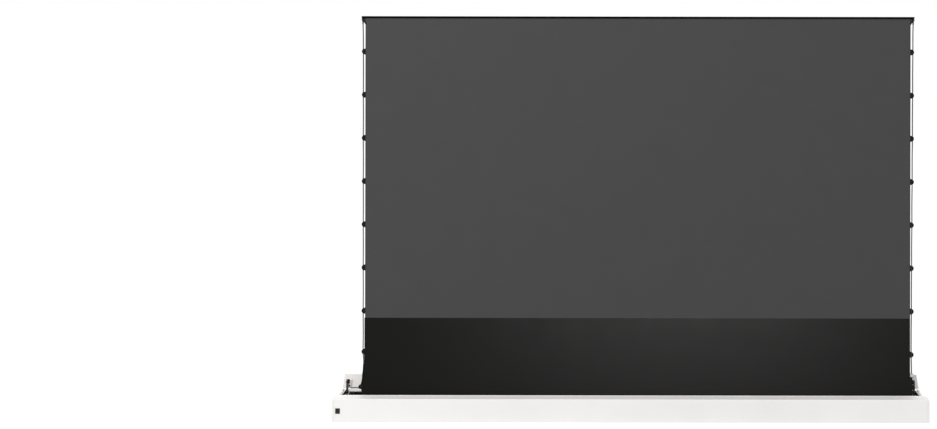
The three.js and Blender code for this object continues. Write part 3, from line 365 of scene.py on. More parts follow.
def studio_floor():
    material = bpy.data.materials.new("floor_white")
    material.use_nodes = True
    kit = Nodes(material.node_tree)
    pale = kit.made("ShaderNodeBsdfDiffuse", "BSDF", {"Color": FLOOR_PALE})
    shadow = kit.made("ShaderNodeBsdfDiffuse", "BSDF", {"Color": FLOOR_SHADOW})
    glow = kit.made("ShaderNodeEmission", "Emission", {"Strength": FLOOR_GLOW})
    bright = kit.made("ShaderNodeAddShader", "Shader", {0: shadow, 1: glow})
    kit.links.new(switched(kit, pale, bright), kit.nodes["Material Output"].inputs["Surface"])
    corners = [(x * FLOOR_HALF, y * FLOOR_HALF, 0) for x, y in ((-1, -1), (1, -1), (1, 1), (-1, 1))]
    mesh = bpy.data.meshes.new("floor")
    mesh.from_pydata(corners, [], [(0, 1, 2, 3)])
    mesh.materials.append(material)
    floor = bpy.data.objects.new("floor", mesh)
    bpy.context.collection.objects.link(floor)


studio_room()
studio_floor()
print("room and floor set")

# %% [markdown]
# ## The key lamp
#
# One large soft lamp stands to the left of the camera and makes the left end of the case a little
# brighter than the right. A wide lamp gives the soft shadows of a studio.

# %% Key lamp
LAMP_POWER = 192
LAMP_PLACE = (-2.2, -3.5, 5.3)
LAMP_SIZE = (3.6, 3.0)
LAMP_AIM = (-0.3, 0.0, 0.1)


def soft_lamp(name, size, power, place, aim):
    data = bpy.data.lights.new(name, "AREA")
    data.shape = "RECTANGLE"
    data.size, data.size_y = size
    data.energy = power
    lamp = bpy.data.objects.new(name, data)
    lamp.location = place
    lamp.rotation_euler = (Vector(aim) - Vector(place)).to_track_quat("-Z", "Y").to_euler()
    bpy.context.collection.objects.link(lamp)
    return lamp


key_lamp = soft_lamp("key_lamp", LAMP_SIZE, LAMP_POWER, LAMP_PLACE, LAMP_AIM)
print("key lamp of", key_lamp.data.energy, "watts")

# %% [markdown]
# ## From a shape to a piece
#
# Shapes are built in a mesh that is still being edited. keep() finishes one: it shades the shape
# smooth where it curves and sharp at its corners, paints it, and lets it ride on its body. Flat
# faces beside small rounded edges need one more step, or they would shade as if they bulged.

# %% Piece kit
SMOOTH_LIMIT = math.radians(50)


def keep(bm, name, slot, body="case", sharp=SMOOTH_LIMIT, finish=None):
    """Turns a finished shape into a piece: smooth where it curves, painted, and riding on its body."""
    bmesh.ops.recalc_face_normals(bm, faces=bm.faces)
    for face in bm.faces:
        face.smooth = True
    mesh = bpy.data.meshes.new(name)
    bm.to_mesh(mesh)
    bm.free()
    if "custom_normal" in mesh.attributes:
        mesh.attributes.remove(mesh.attributes["custom_normal"])
    mesh.set_sharp_from_angle(angle=sharp)
    mesh.materials.clear()
    mesh.materials.append(finish or FINISHES[slot])
    piece = bpy.data.objects.new(name, mesh)
    bpy.context.collection.objects.link(piece)
    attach(piece, body)
    return piece


def even_normals(piece):
    """Keeps large flat faces flat beside small rounded edges."""
    weighted = piece.modifiers.new("even_normals", "WEIGHTED_NORMAL")
    weighted.keep_sharp = True
    return piece


print("piece kit ready")

# %% [markdown]
# ## Shapes from a few lines of code
#
# Nearly everything in this machine is turned, drawn through a die, or moulded. Turned shapes come
# first: a profile turned about an axis, and a closed section turned into a ring. Each helper only
# adds to a mesh.

# %% Turned shapes
AXIS_RADIUS = 0.02 * mm


def directions(axis):
    """The axis and two more directions, all square to each other."""
    axis = Vector(axis).normalized()
    across = axis.orthogonal().normalized()
    return axis, across, axis.cross(across)


def circle(bm, middle, across, third, radius, sides):
    turns = (2 * math.pi * k / sides for k in range(sides))
    return [bm.verts.new(middle + (across * math.cos(a) + third * math.sin(a)) * radius) for a in turns]


def skin_rings(bm, rings, ends=True):
    """Faces between rings of vertices, with a face at each end."""
    for lower, upper in zip(rings, rings[1:]):
        for k in range(len(lower)):
            n = (k + 1) % len(lower)
            bm.faces.new((lower[k], lower[n], upper[n], upper[k]))
    if ends:
        bm.faces.new(list(reversed(rings[0])))
        bm.faces.new(rings[-1])


def turned(bm, profile, centre, axis, sides=48):
    """A profile of (station, radius) pairs turned about an axis through centre. Radius 0 closes an end."""
    axis, across, third = directions(axis)
    rings = []
    for station, radius in profile:
        middle = Vector(centre) + axis * station
        rings.append(circle(bm, middle, across, third, max(radius, AXIS_RADIUS), sides))
    skin_rings(bm, rings)


def hoop(bm, section, centre, axis, sides=32):
    """A closed section of (station, radius) pairs turned into a ring with a hole in it."""
    axis, across, third = directions(axis)
    centre = Vector(centre)
    rings = []
    for k in range(sides):
        angle = 2 * math.pi * k / sides
        way = across * math.cos(angle) + third * math.sin(angle)
        rings.append([bm.verts.new(centre + axis * station + way * radius) for station, radius in section])
    skin_rings(bm, [*rings, rings[0]], ends=False)


print("directions beside an upright axis", [tuple(round(v, 1) for v in way) for way in directions((0, 0, 1))])

# %% [markdown]
# ## Lofts and wires
#
# A loft joins outlines that all have the same number of points, and a wire carries a small circle
# along a line. A few points and a smooth line through them give a wire its run.

# %% Lofts and wires
def sized(points, factor):
    return [(u * factor, v * factor) for u, v in points]


def lofted(bm, place, out, loops, up=None):
    """Joins outlines of (u, v) points, each at its own lift along out. up gives the direction of v."""
    place = Vector(place)
    out = Vector(out).normalized()
    across = Vector(up).cross(out).normalized() if up else out.orthogonal().normalized()
    third = out.cross(across)
    rings = [
        [bm.verts.new(place + across * u + third * v + out * lift) for u, v in loop]
        for lift, loop in loops
    ]
    skin_rings(bm, rings)


def wire(bm, points, radius, sides=10):
    """A round wire along points. Each ring is turned as little as possible from the one before."""
    points = [Vector(p) for p in points]
    across = (points[1] - points[0]).normalized().orthogonal().normalized()
    rings = []
    for k, point in enumerate(points):
        ahead = points[min(k + 1, len(points) - 1)] - points[max(k - 1, 0)]
        ahead.normalize()
        across = (across - ahead * across.dot(ahead)).normalized()
        rings.append(circle(bm, point, across, ahead.cross(across), radius, sides))
    skin_rings(bm, rings)


def smooth_line(points, steps):
    """A smooth curve through a few points, as many short straight steps."""
    points = [Vector(p) for p in points]
    last = len(points) - 1
    line = []
    for k in range(last):
        before, start, end, after = (points[max(0, min(j, last))] for j in range(k - 1, k + 3))
        for step in range(steps):
            t = step / steps
            line.append(0.5 * (
                2 * start + (end - before) * t
                + (2 * before - 5 * start + 4 * end - after) * t * t
                + (3 * start - before - 3 * end + after) * t ** 3
            ))
    line.append(points[-1])
    return line


print("shape kit ready")

# %% [markdown]
# ## The rigid pieces
#
# The solids have the right shapes but sharp corners, and no real edge is sharp. A fine copy of
# each one is made: its split faces are joined, its corners get a small round that catches the
# light, and its round faces are shaded smooth. Sheet metal has a tighter round than a moulding.

# %% Fine copies of the rigid pieces
CORNER_LIMIT = math.radians(32)
FLAT_LIMIT = math.radians(0.5)
SAME_PLACE = 0.001 * mm
USUAL_ROUND = 0.4 * mm
# Rounds in mm of the pieces whose edges aren't the usual ones.
EDGE_ROUND = {
    "front_cover": 0.35, "floor_panel": 0.3, "rear_panel": 0.3, "end_plate": 0.7, "foot": 0.8,
    "receiver_lens": 0.25, "power_inlet": 0.5, "control_box": 0.8, "roller": 0.25, "tube_motor": 0.5,
    "top_bar": 0.25, "shoulder_bracket": 0.5, "spring_drum": 0.6, "lower_arm": 0.8, "upper_arm": 0.8,
    "lid_panel": 0.25, "lid_pad": 0.6, "lever_bracket": 0.35, "lid_pivot": 0.35, "lever_pin": 0.3,
    "lid_lever": 0.5,
}
MADE_ANEW = (
    "picture_fabric", "mask_fabric", "fabric_turns", "tension_cord", "lid_spring", "lever_roller",
    "top_bar_cap",
)
OWN_FINISH = {"lid_panel": lid_painted_shade_white, "lid_lever_left": lever_painted_shade_steel, "lid_lever_right": lever_painted_shade_steel}


def edge_round(node):
    own = [size * mm for name, size in EDGE_ROUND.items() if node.startswith(name)]
    return own[0] if own else USUAL_ROUND


def fine_copy(node):
    solid = frame["nodes"][node]
    slot = solid.material_slots[0].material.name
    bm = bmesh.new()
    bm.from_mesh(solid.data)
    bmesh.ops.remove_doubles(bm, verts=bm.verts, dist=SAME_PLACE)
    bmesh.ops.dissolve_limit(bm, angle_limit=FLAT_LIMIT, verts=bm.verts, edges=bm.edges)
    corners = [edge for edge in bm.edges if edge.is_manifold and edge.calc_face_angle() > CORNER_LIMIT]
    bmesh.ops.bevel(
        bm, geom=corners, offset=edge_round(node), segments=2, profile=0.5, affect="EDGES", clamp_overlap=True
    )
    piece = even_normals(keep(bm, node + "_fine", slot, BODY_OF[node], finish=OWN_FINISH.get(node)))
    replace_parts(piece, node)
    return piece


fine = {node: fine_copy(node) for node in frame["nodes"] if not node.startswith(MADE_ANEW)}
print(len(fine), "fine copies,", sum(len(p.data.polygons) for p in fine.values()), "faces")

# %% [markdown]
# ## Painted shade inside
#
# Through the slot the case looks black. The faces inside the shells get a dark coat, which is painted
# shade for the shade that fills the case. The white coat goes round the slot's folded edges and ends
# a little below them. So the place of a face decides its paint: dark when it is inside all the margins.

# %% Inside of the shells
SKIN = 1.2 * mm
END_FLANGE = 8 * mm
COATED_LIP = 14 * mm
SHELLS = ("front_cover", "floor_panel", "rear_panel", "end_plate_left", "end_plate_right")
inside_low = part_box("end_plate_left")[0] + Vector((END_FLANGE, SKIN, SKIN))
inside_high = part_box("end_plate_right")[1] - Vector((END_FLANGE, SKIN, COATED_LIP))

for shell in SHELLS:
    piece = fine[shell]
    piece.data.materials.append(painted_shade_inside)
    hidden = 0
    for face in piece.data.polygons:
        is_inside = all(a < value < b for a, value, b in zip(inside_low, face.center, inside_high))
        face.material_index = int(is_inside)
        hidden += is_inside
    print(shell, hidden, "of", len(piece.data.polygons), "faces are inside")

# %% [markdown]
# ## Where the cloths' edges are
#
# Both cloths hang in one plane, held by the bar above, the roller below and the cords at the
# sides. Each side has a row of tabs at an even pitch, with one more on the mask. The places are
# worked out from the bar, the seam and the boxes of the two solids.

# %% Sizes of the cloths
TAB_HEIGHT = 25 * mm
TAB_TIP = 17 * mm
TAB_REACH = 5.6 * mm
TAB_COUNT = 7
FIRST_TAB_DROP = 148 * mm
LAST_TAB_RISE = 29.4 * mm
MASK_TAB_DROP = {-1: 142 * mm, 1: 151.2 * mm}
MASK_EDGE = {-1: 2.5 * mm, 1: 0.0}
STEP_HEIGHT = 173 * mm
FLARE = {-1: 15 * mm, 1: 10 * mm}
CORNER_REACH = 8.5 * mm
CORNER_DROP = 23 * mm
CORNER_RISE = 10 * mm

picture_low, picture_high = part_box("picture_fabric")
mask_low, mask_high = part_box("mask_fabric")
bar_bottom, bar_top = (corner.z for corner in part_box("top_bar"))
seam = picture_low.z
cloth_edge = {-1: picture_low.x + TAB_REACH, 1: picture_high.x - TAB_REACH}
first_tab = bar_top - FIRST_TAB_DROP
tab_pitch = (first_tab - seam - LAST_TAB_RISE) / (TAB_COUNT - 1)
picture_tabs = [first_tab - k * tab_pitch for k in range(TAB_COUNT)]
mask_tab = {side: seam - drop for side, drop in MASK_TAB_DROP.items()}
print("picture tabs at", [round(tab / mm) for tab in picture_tabs], "mm")

# %% [markdown]
# ## The edges as two functions
#
# An edge steps out at each tab, and the mask widens near its foot. On the left the cord runs in a
# pocket of the mask, so there the edge follows the cord. Two functions say for any height where
# the left and the right edge are, so sheet, hem and clip all agree.

# %% Edges of the cloths
CORD_OUT = 10.5 * mm
CORD_RADIUS = 2.2 * mm
CORD_SPACE = 0.4 * mm
POCKET_FOOT = 140 * mm
POCKET_TOP = 226 * mm
LEFT_CORD_LOW = [
    (-2.6 * mm, 276 * mm), (-5.0 * mm, 243.5 * mm), (-5.0 * mm, 218 * mm), (-4.2 * mm, 200 * mm),
    (-1.8 * mm, 180 * mm), (-0.2 * mm, 159 * mm), (3.8 * mm, 141 * mm), (5.4 * mm, 129.5 * mm),
]


def tab_reach(height, tabs):
    """How far the edge stands out at this height: sloping shoulders, then a straight tip."""
    for tab in tabs:
        away = abs(height - tab)
        if away < TAB_HEIGHT / 2:
            slope = (TAB_HEIGHT / 2 - away) / (TAB_HEIGHT / 2 - TAB_TIP / 2)
            return TAB_REACH * min(1, slope)
    return 0.0


def left_cord_out(height):
    """How far outside the cloth the left cord runs in its pocket."""
    for (out, top), (next_out, foot) in zip(LEFT_CORD_LOW, LEFT_CORD_LOW[1:]):
        if height >= foot:
            return CORD_OUT + out + (next_out - out) * (top - height) / (top - foot)
    return CORD_OUT + LEFT_CORD_LOW[-1][0]


def picture_span(height):
    """The left and right edge of the picture. Its top corners slope out to the bar's ears."""
    above = height - (bar_bottom - CORNER_DROP)
    corner = max(0.0, min(1.0, above / CORNER_RISE)) * CORNER_REACH
    out = max(tab_reach(height, picture_tabs), corner)
    return cloth_edge[-1] - out, cloth_edge[1] + out


def mask_span(height):
    """The left edge widens into a pocket for the cord below its tab, the right edge in a step."""
    left_out = max(MASK_EDGE[-1], tab_reach(height, [mask_tab[-1]]))
    right_out = max(MASK_EDGE[1], tab_reach(height, [mask_tab[1]]))
    if height < POCKET_FOOT:
        left_out = FLARE[-1]
    elif height < POCKET_TOP:
        left_out = left_cord_out(height)
    elif height < mask_tab[-1] - TAB_HEIGHT / 2:
        left_out = left_cord_out(height) - CORD_RADIUS - CORD_SPACE
    if height < STEP_HEIGHT:
        right_out = FLARE[1]
    return cloth_edge[-1] - left_out, cloth_edge[1] + right_out


print("the mask's foot is", round((mask_span(0)[1] - mask_span(0)[0]) / mm), "mm wide")

# %% [markdown]
# ## Rows, columns and a ripple
#
# A cloth is made as a grid. Its outer columns follow the two edge lines, and its rows are closer
# together at the tabs, where the edge turns. Cloth under tension is nearly flat, with a soft
# ripple that fades towards its edges: two long sine waves are enough.

# %% Grid of a cloth
ROWS = 60
ROWS_PER_TAB = 12
ROW_SPACE = 0.2 * mm
RIPPLE = 0.12 * mm
RIPPLE_FADE = 60 * mm
RIPPLE_WAVES = ((1.0, 9.1, 1.7), (0.6, 21.3, -4.2))


def cloth_rows(low, high, tabs, extra=()):
    """The heights of the rows, from low to high."""
    rows = {low, high, *extra}
    rows.update(low + (high - low) * k / ROWS for k in range(ROWS + 1))
    half = ROWS_PER_TAB // 2
    for tab in tabs:
        rows.update(tab + TAB_HEIGHT / 2 * k / half for k in range(-half, half + 1))
    ordered = sorted(row for row in rows if low <= row <= high)
    return [row for k, row in enumerate(ordered) if k == 0 or row - ordered[k - 1] > ROW_SPACE]


def ripple(x, z):
    """A few long soft waves across the cloth, nothing at its edges."""
    inward = min(x - cloth_edge[-1], cloth_edge[1] - x) / RIPPLE_FADE
    fade = max(0.0, min(1.0, inward))
    return RIPPLE * fade * sum(share * math.sin(x * along + z * up) for share, along, up in RIPPLE_WAVES)


def stations(left, right, border, columns):
    """Where the columns stand. With a border, the first and the last column are the border."""
    if not border:
        return [left + (right - left) * k / columns for k in range(columns + 1)]
    first, last = cloth_edge[-1] + border, cloth_edge[1] - border
    inner = [first + (last - first) * k / (columns - 2) for k in range(columns - 1)]
    return [left, *inner, right]


print("a tab has", ROWS_PER_TAB, "rows")

# %% [markdown]
# ## Cutting the cloths
#
# A sheet has a front and a rear layer, joined round the rim, so that it is a closed body with a
# real thickness. The picture's outermost columns are its black border, tabs and all, so they are
# kept narrow. Its back is black too, as on the real cloth, to keep light from coming through.

# %% Picture and mask
GAP = 0.3 * mm
BORDER = 3 * mm
COLUMNS = 96
CLOTH_SHARP = math.radians(40)
HALF_TURNED = 0.5


def rim(lines):
    """The outer vertices of one layer, once round."""
    rights = [line[-1] for line in lines[1:-1]]
    lefts = [line[0] for line in reversed(lines[1:-1])]
    return [*lines[0], *rights, *reversed(lines[-1]), *lefts]


def cloth(name, depth, rows, span, front, back, slot="mask_black", columns=COLUMNS, border=0.0):
    """A thin closed sheet between two edge lines. depth holds its front and its rear face."""
    bm = bmesh.new()
    layers = [
        [[bm.verts.new((x, y + ripple(x, z), z)) for x in stations(*span(z), border, columns)] for z in rows]
        for y in depth
    ]
    for lines in layers:
        for lower, upper in zip(lines, lines[1:]):
            for k in range(columns):
                bm.faces.new((lower[k], lower[k + 1], upper[k + 1], upper[k]))
    near, far = (rim(lines) for lines in layers)
    for k in range(len(near)):
        n = (k + 1) % len(near)
        bm.faces.new((near[k], near[n], far[n], far[k]))
    piece = keep(bm, name, slot, sharp=CLOTH_SHARP, finish=front)
    piece.data.materials.append(back)
    for face in piece.data.polygons:
        at_edge = border and not cloth_edge[-1] + border < face.center.x < cloth_edge[1] - border
        face.material_index = 1 if face.normal.y > HALF_TURNED or at_edge else 0
    return piece


corner_rows = [bar_bottom - CORNER_DROP + CORNER_RISE * k / 4 for k in range(5)]
picture_rows = cloth_rows(seam, picture_high.z, picture_tabs, corner_rows)
mask_corners = [POCKET_TOP, POCKET_FOOT, STEP_HEIGHT]
below_corners = [height - GAP for height in mask_corners]
mask_rows = cloth_rows(mask_low.z, seam, mask_tab.values(), mask_corners + below_corners)
sheet_depth = (picture_low.y, picture_high.y)
picture = cloth(
    "picture_sheet", sheet_depth, picture_rows, picture_span, picture_grey, picture_back,
    slot="picture_grey", border=BORDER,
)
mask = cloth("mask_sheet", sheet_depth, mask_rows, mask_span, mask_black, mask_black)
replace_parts(picture, "picture_fabric")
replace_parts(mask, "mask_fabric")
print("picture of", len(picture_rows), "rows, mask of", len(mask_rows))

# %% [markdown]
# ## Hems and weld
#
# A cut edge would fray, so each side is folded over and welded down, and a welded strip joins the
# two cloths at the seam. The same function makes these bands, a little behind the sheets. When the
# bar comes down, real cloth winds on the roller.

# %% Hems and weld
HEM_WIDTH = 12 * mm
HEM_GAP = 0.05 * mm
HEM_THICKNESS = 0.5 * mm
SEAM_BAND = 18 * mm
CLOTH_STACK = {"anchor": (0, 0, 0.058), "keep": 0.0049}
CORD_STACK = {"anchor": (0, 0, 0.052), "keep": 0.0086}


def stacked(stack, *pieces):
    """Gives each piece a mesh of its own."""
    for piece in pieces:
        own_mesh(piece)


def hem_span(span, side):
    """The two edges of a hem along one side of a cloth."""
    def edges(height):
        left, right = span(height)
        return (left, left + HEM_WIDTH) if side < 0 else (right - HEM_WIDTH, right)
    return edges


def weld_span(height):
    return cloth_edge[-1], cloth_edge[1]


def one_side(piece):
    """The area of the sheet's front in square metres."""
    return sum(face.area for face in piece.data.polygons if face.normal.y < -HALF_TURNED)


behind = (picture_high.y + HEM_GAP, picture_high.y + HEM_THICKNESS)
on_hems = tuple(y + HEM_THICKNESS for y in behind)
bands = {picture: [], mask: []}
for side_name, side in SIDES:
    for sheet, rows, span, finish in (
        (picture, picture_rows, picture_span, picture_back),
        (mask, mask_rows, mask_span, mask_black),
    ):
        name = f"{sheet.name}_hem_{side_name}"
        bands[sheet].append(cloth(name, behind, rows, hem_span(span, side), finish, finish, columns=3))
weld_rows = [seam + SEAM_BAND * share for share in (-1 / 2, -1 / 6, 1 / 6, 1 / 2)]
bands[mask].append(cloth("seam_weld_band", on_hems, weld_rows, weld_span, mask_black, mask_black))

for sheet, low, high in ((picture, picture_low, picture_high), (mask, mask_low, mask_high)):
    stacked(CLOTH_STACK, sheet, *bands[sheet])
print("picture", round(one_side(picture), 3), "m2, mask", round(one_side(mask), 3), "m2")

# %% [markdown]
# ## A low lamp for the sheen
#
# Coated black cloth shows mostly what it mirrors. In the studio a low white screen to the right of
# the camera gives the mask a soft sheen that is weakest at its left end. A lamp linked to the mask
# alone, and to its gloss alone, does the same and leaves the white case as it is.

# %% Sheen lamp
SHEEN_PLACE = (0.3, -2.2, 0.35)
SHEEN_AIM = (0.1, 0.0, 0.25)
SHEEN_SIZE = (1.9, 1.0)
SHEEN_POWER = 150

sheen_lamp = soft_lamp("sheen_lamp", SHEEN_SIZE, SHEEN_POWER, SHEEN_PLACE, SHEEN_AIM)
sheen_lamp.visible_diffuse = False
sheen_only = bpy.data.collections.new("sheen_only")
sheen_only.objects.link(mask)
sheen_lamp.light_linking.receiver_collection = sheen_only

# %% [markdown]
# ## Tension cords
#
# A cord runs down each side, from the bar's ear to the foot of the mask, and draws the tabs
# outwards. Each tab draws the cord in a little. Its line is worked out from the tabs' heights and
# smoothed, and a round section is carried along it. Low on the left the cord runs inside a pocket
# of the mask, so a slightly wider sleeve of black cloth covers it there.

# %% Tension cords
CORD_SAG = 0.5 * mm
CORD_BITE = {-1: (1.5 * mm, 2.5 * mm), 1: (0.8 * mm, 6.0 * mm)}
CORD_STEPS = 8
EAR_DROP = 21 * mm
END_CLIP = 10 * mm
SLEEVE_RADIUS = 3.0 * mm
SLEEVE_OVERLAP = 3 * mm
cord_y = (picture_low.y + picture_high.y) / 2
hook_height = STEP_HEIGHT + END_CLIP + GAP
CORD_LOW = {-1: LEFT_CORD_LOW[1:], 1: [(-4.0 * mm, hook_height)]}


def cord_line(side):
    """Points from the ear down past every tab, bowed in between them, and on to the cord's foot."""
    above, out = bar_bottom - EAR_DROP - GAP, 0.0
    points = [(out, above)]
    first, last = CORD_BITE[side]
    tabs = (*picture_tabs, mask_tab[side])
    for k, height in enumerate(tabs):
        bite = -first - (last - first) * k / (len(tabs) - 1)
        points += [((out + bite) / 2 - CORD_SAG, (above + height) / 2), (bite, height)]
        above, out = height, bite
    points += CORD_LOW[side]
    places = [Vector((cloth_edge[side] + side * (CORD_OUT + out), cord_y, z)) for out, z in points]
    return smooth_line(places, CORD_STEPS)


cords, cord_lines = {}, {}
for side_name, side in SIDES:
    cord_lines[side] = cord_line(side)
    bm = bmesh.new()
    wire(bm, cord_lines[side], CORD_RADIUS, sides=12)
    cords[side] = keep(bm, f"tension_cord_{side_name}_braid", "cord_grey")
    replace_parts(cords[side], f"tension_cord_{side_name}")
in_pocket = [point for point in cord_lines[-1] if POCKET_FOOT - SLEEVE_OVERLAP < point.z < POCKET_TOP]
bm = bmesh.new()
wire(bm, in_pocket, SLEEVE_RADIUS, sides=14)
cord_sleeve = keep(bm, "cord_sleeve_left", "mask_black")
print("cord points", {name: len(cord_lines[side]) for name, side in SIDES})

# %% [markdown]
# ## Clips between cord and tab
#
# At each tab a moulded clip bites on the cloth and holds the cord. Seen from the front it is a
# half round, as tall as the tab where it meets the cloth and closed beyond the cord. Seen from above
# it is thin at the cloth and swells round the cord. A loft through rounded outlines gives both. The
# same shape, shorter, anchors the mask's foot at each side and ends the right cord.

# %% Clip kit
CLIP_START = 0.5 * mm
CLIP_TIP = 14.6 * mm
CLIP_HALF = 12.8 * mm
# Each row: the share of the way to the tip, the share of the height, and half the thickness in mm.
CLIP_SHAPE = (
    (0.00, 0.98, 0.9), (0.06, 1.00, 1.5), (0.28, 0.96, 1.7), (0.45, 0.89, 2.1), (0.60, 0.79, 3.3),
    (0.76, 0.64, 3.7), (0.89, 0.45, 3.2), (0.96, 0.28, 2.4), (1.00, 0.12, 1.4),
)
OUTLINE_POINTS = 28
SQUARENESS = 0.45


def rounded_outline(half_across, half_up, squareness=SQUARENESS):
    """A rounded rectangle as one smooth formula, so that every outline has the same points."""
    points = []
    for k in range(OUTLINE_POINTS):
        angle = 2 * math.pi * k / OUTLINE_POINTS
        c, s = math.cos(angle), math.sin(angle)
        u = math.copysign(abs(c) ** squareness, c) * half_across
        v = math.copysign(abs(s) ** squareness, s) * half_up
        points.append((u, v))
    return points


def clip(name, side, height, start=CLIP_START, tip=CLIP_TIP, tall=1.0, slot="plastic_black"):
    """A clip that runs from start to tip, measured outwards from the cloth's edge."""
    root = Vector((cloth_edge[side] + side * start, cord_y, height))
    loops = [
        (share * (tip - start), rounded_outline(thick * mm, high * CLIP_HALF * tall))
        for share, high, thick in CLIP_SHAPE
    ]
    bm = bmesh.new()
    lofted(bm, root, (side, 0, 0), loops, up=(0, 0, 1))
    return keep(bm, name, slot)


print("clip kit ready")

# %% [markdown]
# ## Clips in place
#
# Each side gets a clip at every tab and one at the mask's foot, and the cord's length is measured
# along its line.

# %% Clips and cords
FOOT_HEIGHT = 129.5 * mm
FOOT_CLIP = {-1: (13.5 * mm, 27.0 * mm), 1: (8.0 * mm, 21.0 * mm)}
FOOT_TALL = 0.86

for side_name, side in SIDES:
    heights = enumerate((*picture_tabs, mask_tab[side]))
    clips = [clip(f"cord_clip_{side_name}_{k}", side, height) for k, height in heights]
    clips.append(clip(f"cord_clip_{side_name}_foot", side, FOOT_HEIGHT, *FOOT_CLIP[side], FOOT_TALL))
    if side < 0:
        clips.append(cord_sleeve)
    else:
        tall = END_CLIP / CLIP_HALF
        clips.append(clip("cord_hook_right", side, hook_height, tall=tall, slot="zinc_steel"))
    cord, line = cords[side], cord_lines[side]
    length = sum((b - a).length for a, b in zip(line, line[1:]))
    stacked(CORD_STACK, cord, *clips)
    print(side_name, "cord", round(length, 3), "m with", len(clips), "pieces on it")

# %% [markdown]
# ## Caps of the top bar
#
# The bar is closed at each end by a moulded cap. A small ear reaches down from the cap, grips the
# picture's corner and has a hole for the cord. A black hem strengthens the corner's sloping edge.
# Cap, ear and hem are flat outlines with a thickness and a chamfer, lofted.

# %% Caps, ears and corner hems
CHAMFER = 0.4 * mm
CAP_LENGTH = 3 * mm
CAP_SQUARENESS = 0.14
PLATE_SHARP = math.radians(30)
EAR_FRONT = -13.5 * mm
EAR_THICKNESS = 3.4 * mm
# Outlines in mm: inwards from the bar's end and up from its underside, then outwards from the
# cloth's edge and up from the foot of the slope.
EAR_OUTLINE = (
    (0.0, 1.0), (0.0, -9.2), (0.5, -10.6), (1.8, -11.5), (6.2, -11.5), (7.8, -10.9), (9.0, -9.6),
    (12.0, -2.0), (12.6, 1.0),
)
CORNER_HEM = ((-0.5, -4.0), (9.2, 9.5), (5.5, 13.0), (-4.2, -0.5))
CORNER_HEM_DEPTH = (-12.7 * mm, -10.9 * mm)


def plate(bm, outline, depth):
    """A flat outline of (x, z) points with chamfered edges, between a front and a rear y."""
    front, rear = depth
    points = [Vector(point) for point in outline]
    middle = sum(points, Vector((0, 0))) / len(points)
    size = max((point - middle).length for point in points)
    small = [middle + (point - middle) * (1 - CHAMFER / size) for point in points]
    loops = ((front, small), (front + CHAMFER, outline), (rear - CHAMFER, outline), (rear, small))
    skin_rings(bm, [[bm.verts.new((x, y, z)) for x, z in loop] for y, loop in loops])


for side_name, side in SIDES:
    low, high, middle = box_of(f"top_bar_cap_{side_name}")
    end_x = high.x if side > 0 else low.x
    middle = Vector((end_x, middle.y, (bar_bottom + bar_top) / 2))
    half_deep, half_high = (high.y - low.y) / 2, (bar_top - bar_bottom) / 2
    face = rounded_outline(half_deep, half_high, CAP_SQUARENESS)
    inset = rounded_outline(half_deep - CHAMFER, half_high - CHAMFER, CAP_SQUARENESS)
    bm = bmesh.new()
    lofted(bm, middle, (-side, 0, 0), [(0, inset), (CHAMFER, face), (CAP_LENGTH, face)], up=(0, 0, 1))
    ear = [(end_x - side * x * mm, bar_bottom + z * mm) for x, z in EAR_OUTLINE]
    plate(bm, ear, (EAR_FRONT, EAR_FRONT + EAR_THICKNESS))
    cap = keep(bm, f"bar_cap_{side_name}", "plastic_black", "top_bar_body", PLATE_SHARP)
    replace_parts(even_normals(cap), f"top_bar_cap_{side_name}")
    hem = [(cloth_edge[side] + side * x * mm, bar_bottom - CORNER_DROP + z * mm) for x, z in CORNER_HEM]
    bm = bmesh.new()
    plate(bm, hem, CORNER_HEM_DEPTH)
    stacked(CLOTH_STACK, keep(bm, f"corner_hem_{side_name}", "mask_black", sharp=PLATE_SHARP))
    print(side_name, "cap at", round(end_x / mm, 1), "mm")

# %% [markdown]
# ## Cord ends at the bar
#
# The cord can't just stop under the ear. It goes through the ear's hole as a loop and comes back to
# a crimped ferrule. A ring round the hole guards the cord, and that stays with the bar.

# %% Cord loops and ferrules
LOOP_RADIUS = 1.3 * mm
LOOP_OUT = 3.2 * mm
LOOP_STEPS = 12
LOOP_FLATNESS = 0.4
LOOP_CLOSING = 0.45
WAIST_RISE = 2.5 * mm
EAR_HOLE_DROP = 5.6 * mm
EAR_FOOT = 11.5 * mm
FERRULE_RADIUS = 3.1 * mm
FERRULE_OVERLAP = 3 * mm
# Shares of the ferrule's length and of its radius: a rounded sleeve with one crimp.
CRIMP_SHARES = (
    (0, 0), (0, 0.8), (0.06, 0.96), (0.12, 1), (0.4, 1), (0.5, 0.86), (0.6, 1), (0.88, 1),
    (0.94, 0.96), (1, 0.8), (1, 0),
)
# Guard ring in mm: how far it stands off the ear, and its radius.
GUARD_SECTION = ((0, 1.5), (0, 2.6), (0.5, 2.5), (0.7, 2.2), (0.7, 1.8), (0.5, 1.5))


def loop_line(hole, top, length):
    """From inside the ferrule up through the hole and back down."""
    over = []
    for k in range(LOOP_STEPS + 1):
        angle = math.pi * k / LOOP_STEPS
        bow = LOOP_OUT * LOOP_FLATNESS * math.sin(angle)
        over.append(hole + Vector((0, -LOOP_OUT * math.cos(angle), bow)))
    ends = [Vector((hole.x, hole.y + way * LOOP_OUT * LOOP_CLOSING, top - length / 2)) for way in (-1, 1)]
    waists = [Vector((hole.x, hole.y + way * LOOP_OUT, top + WAIST_RISE)) for way in (-1, 1)]
    return smooth_line([ends[0], waists[0], *over, waists[1], ends[1]], 4)


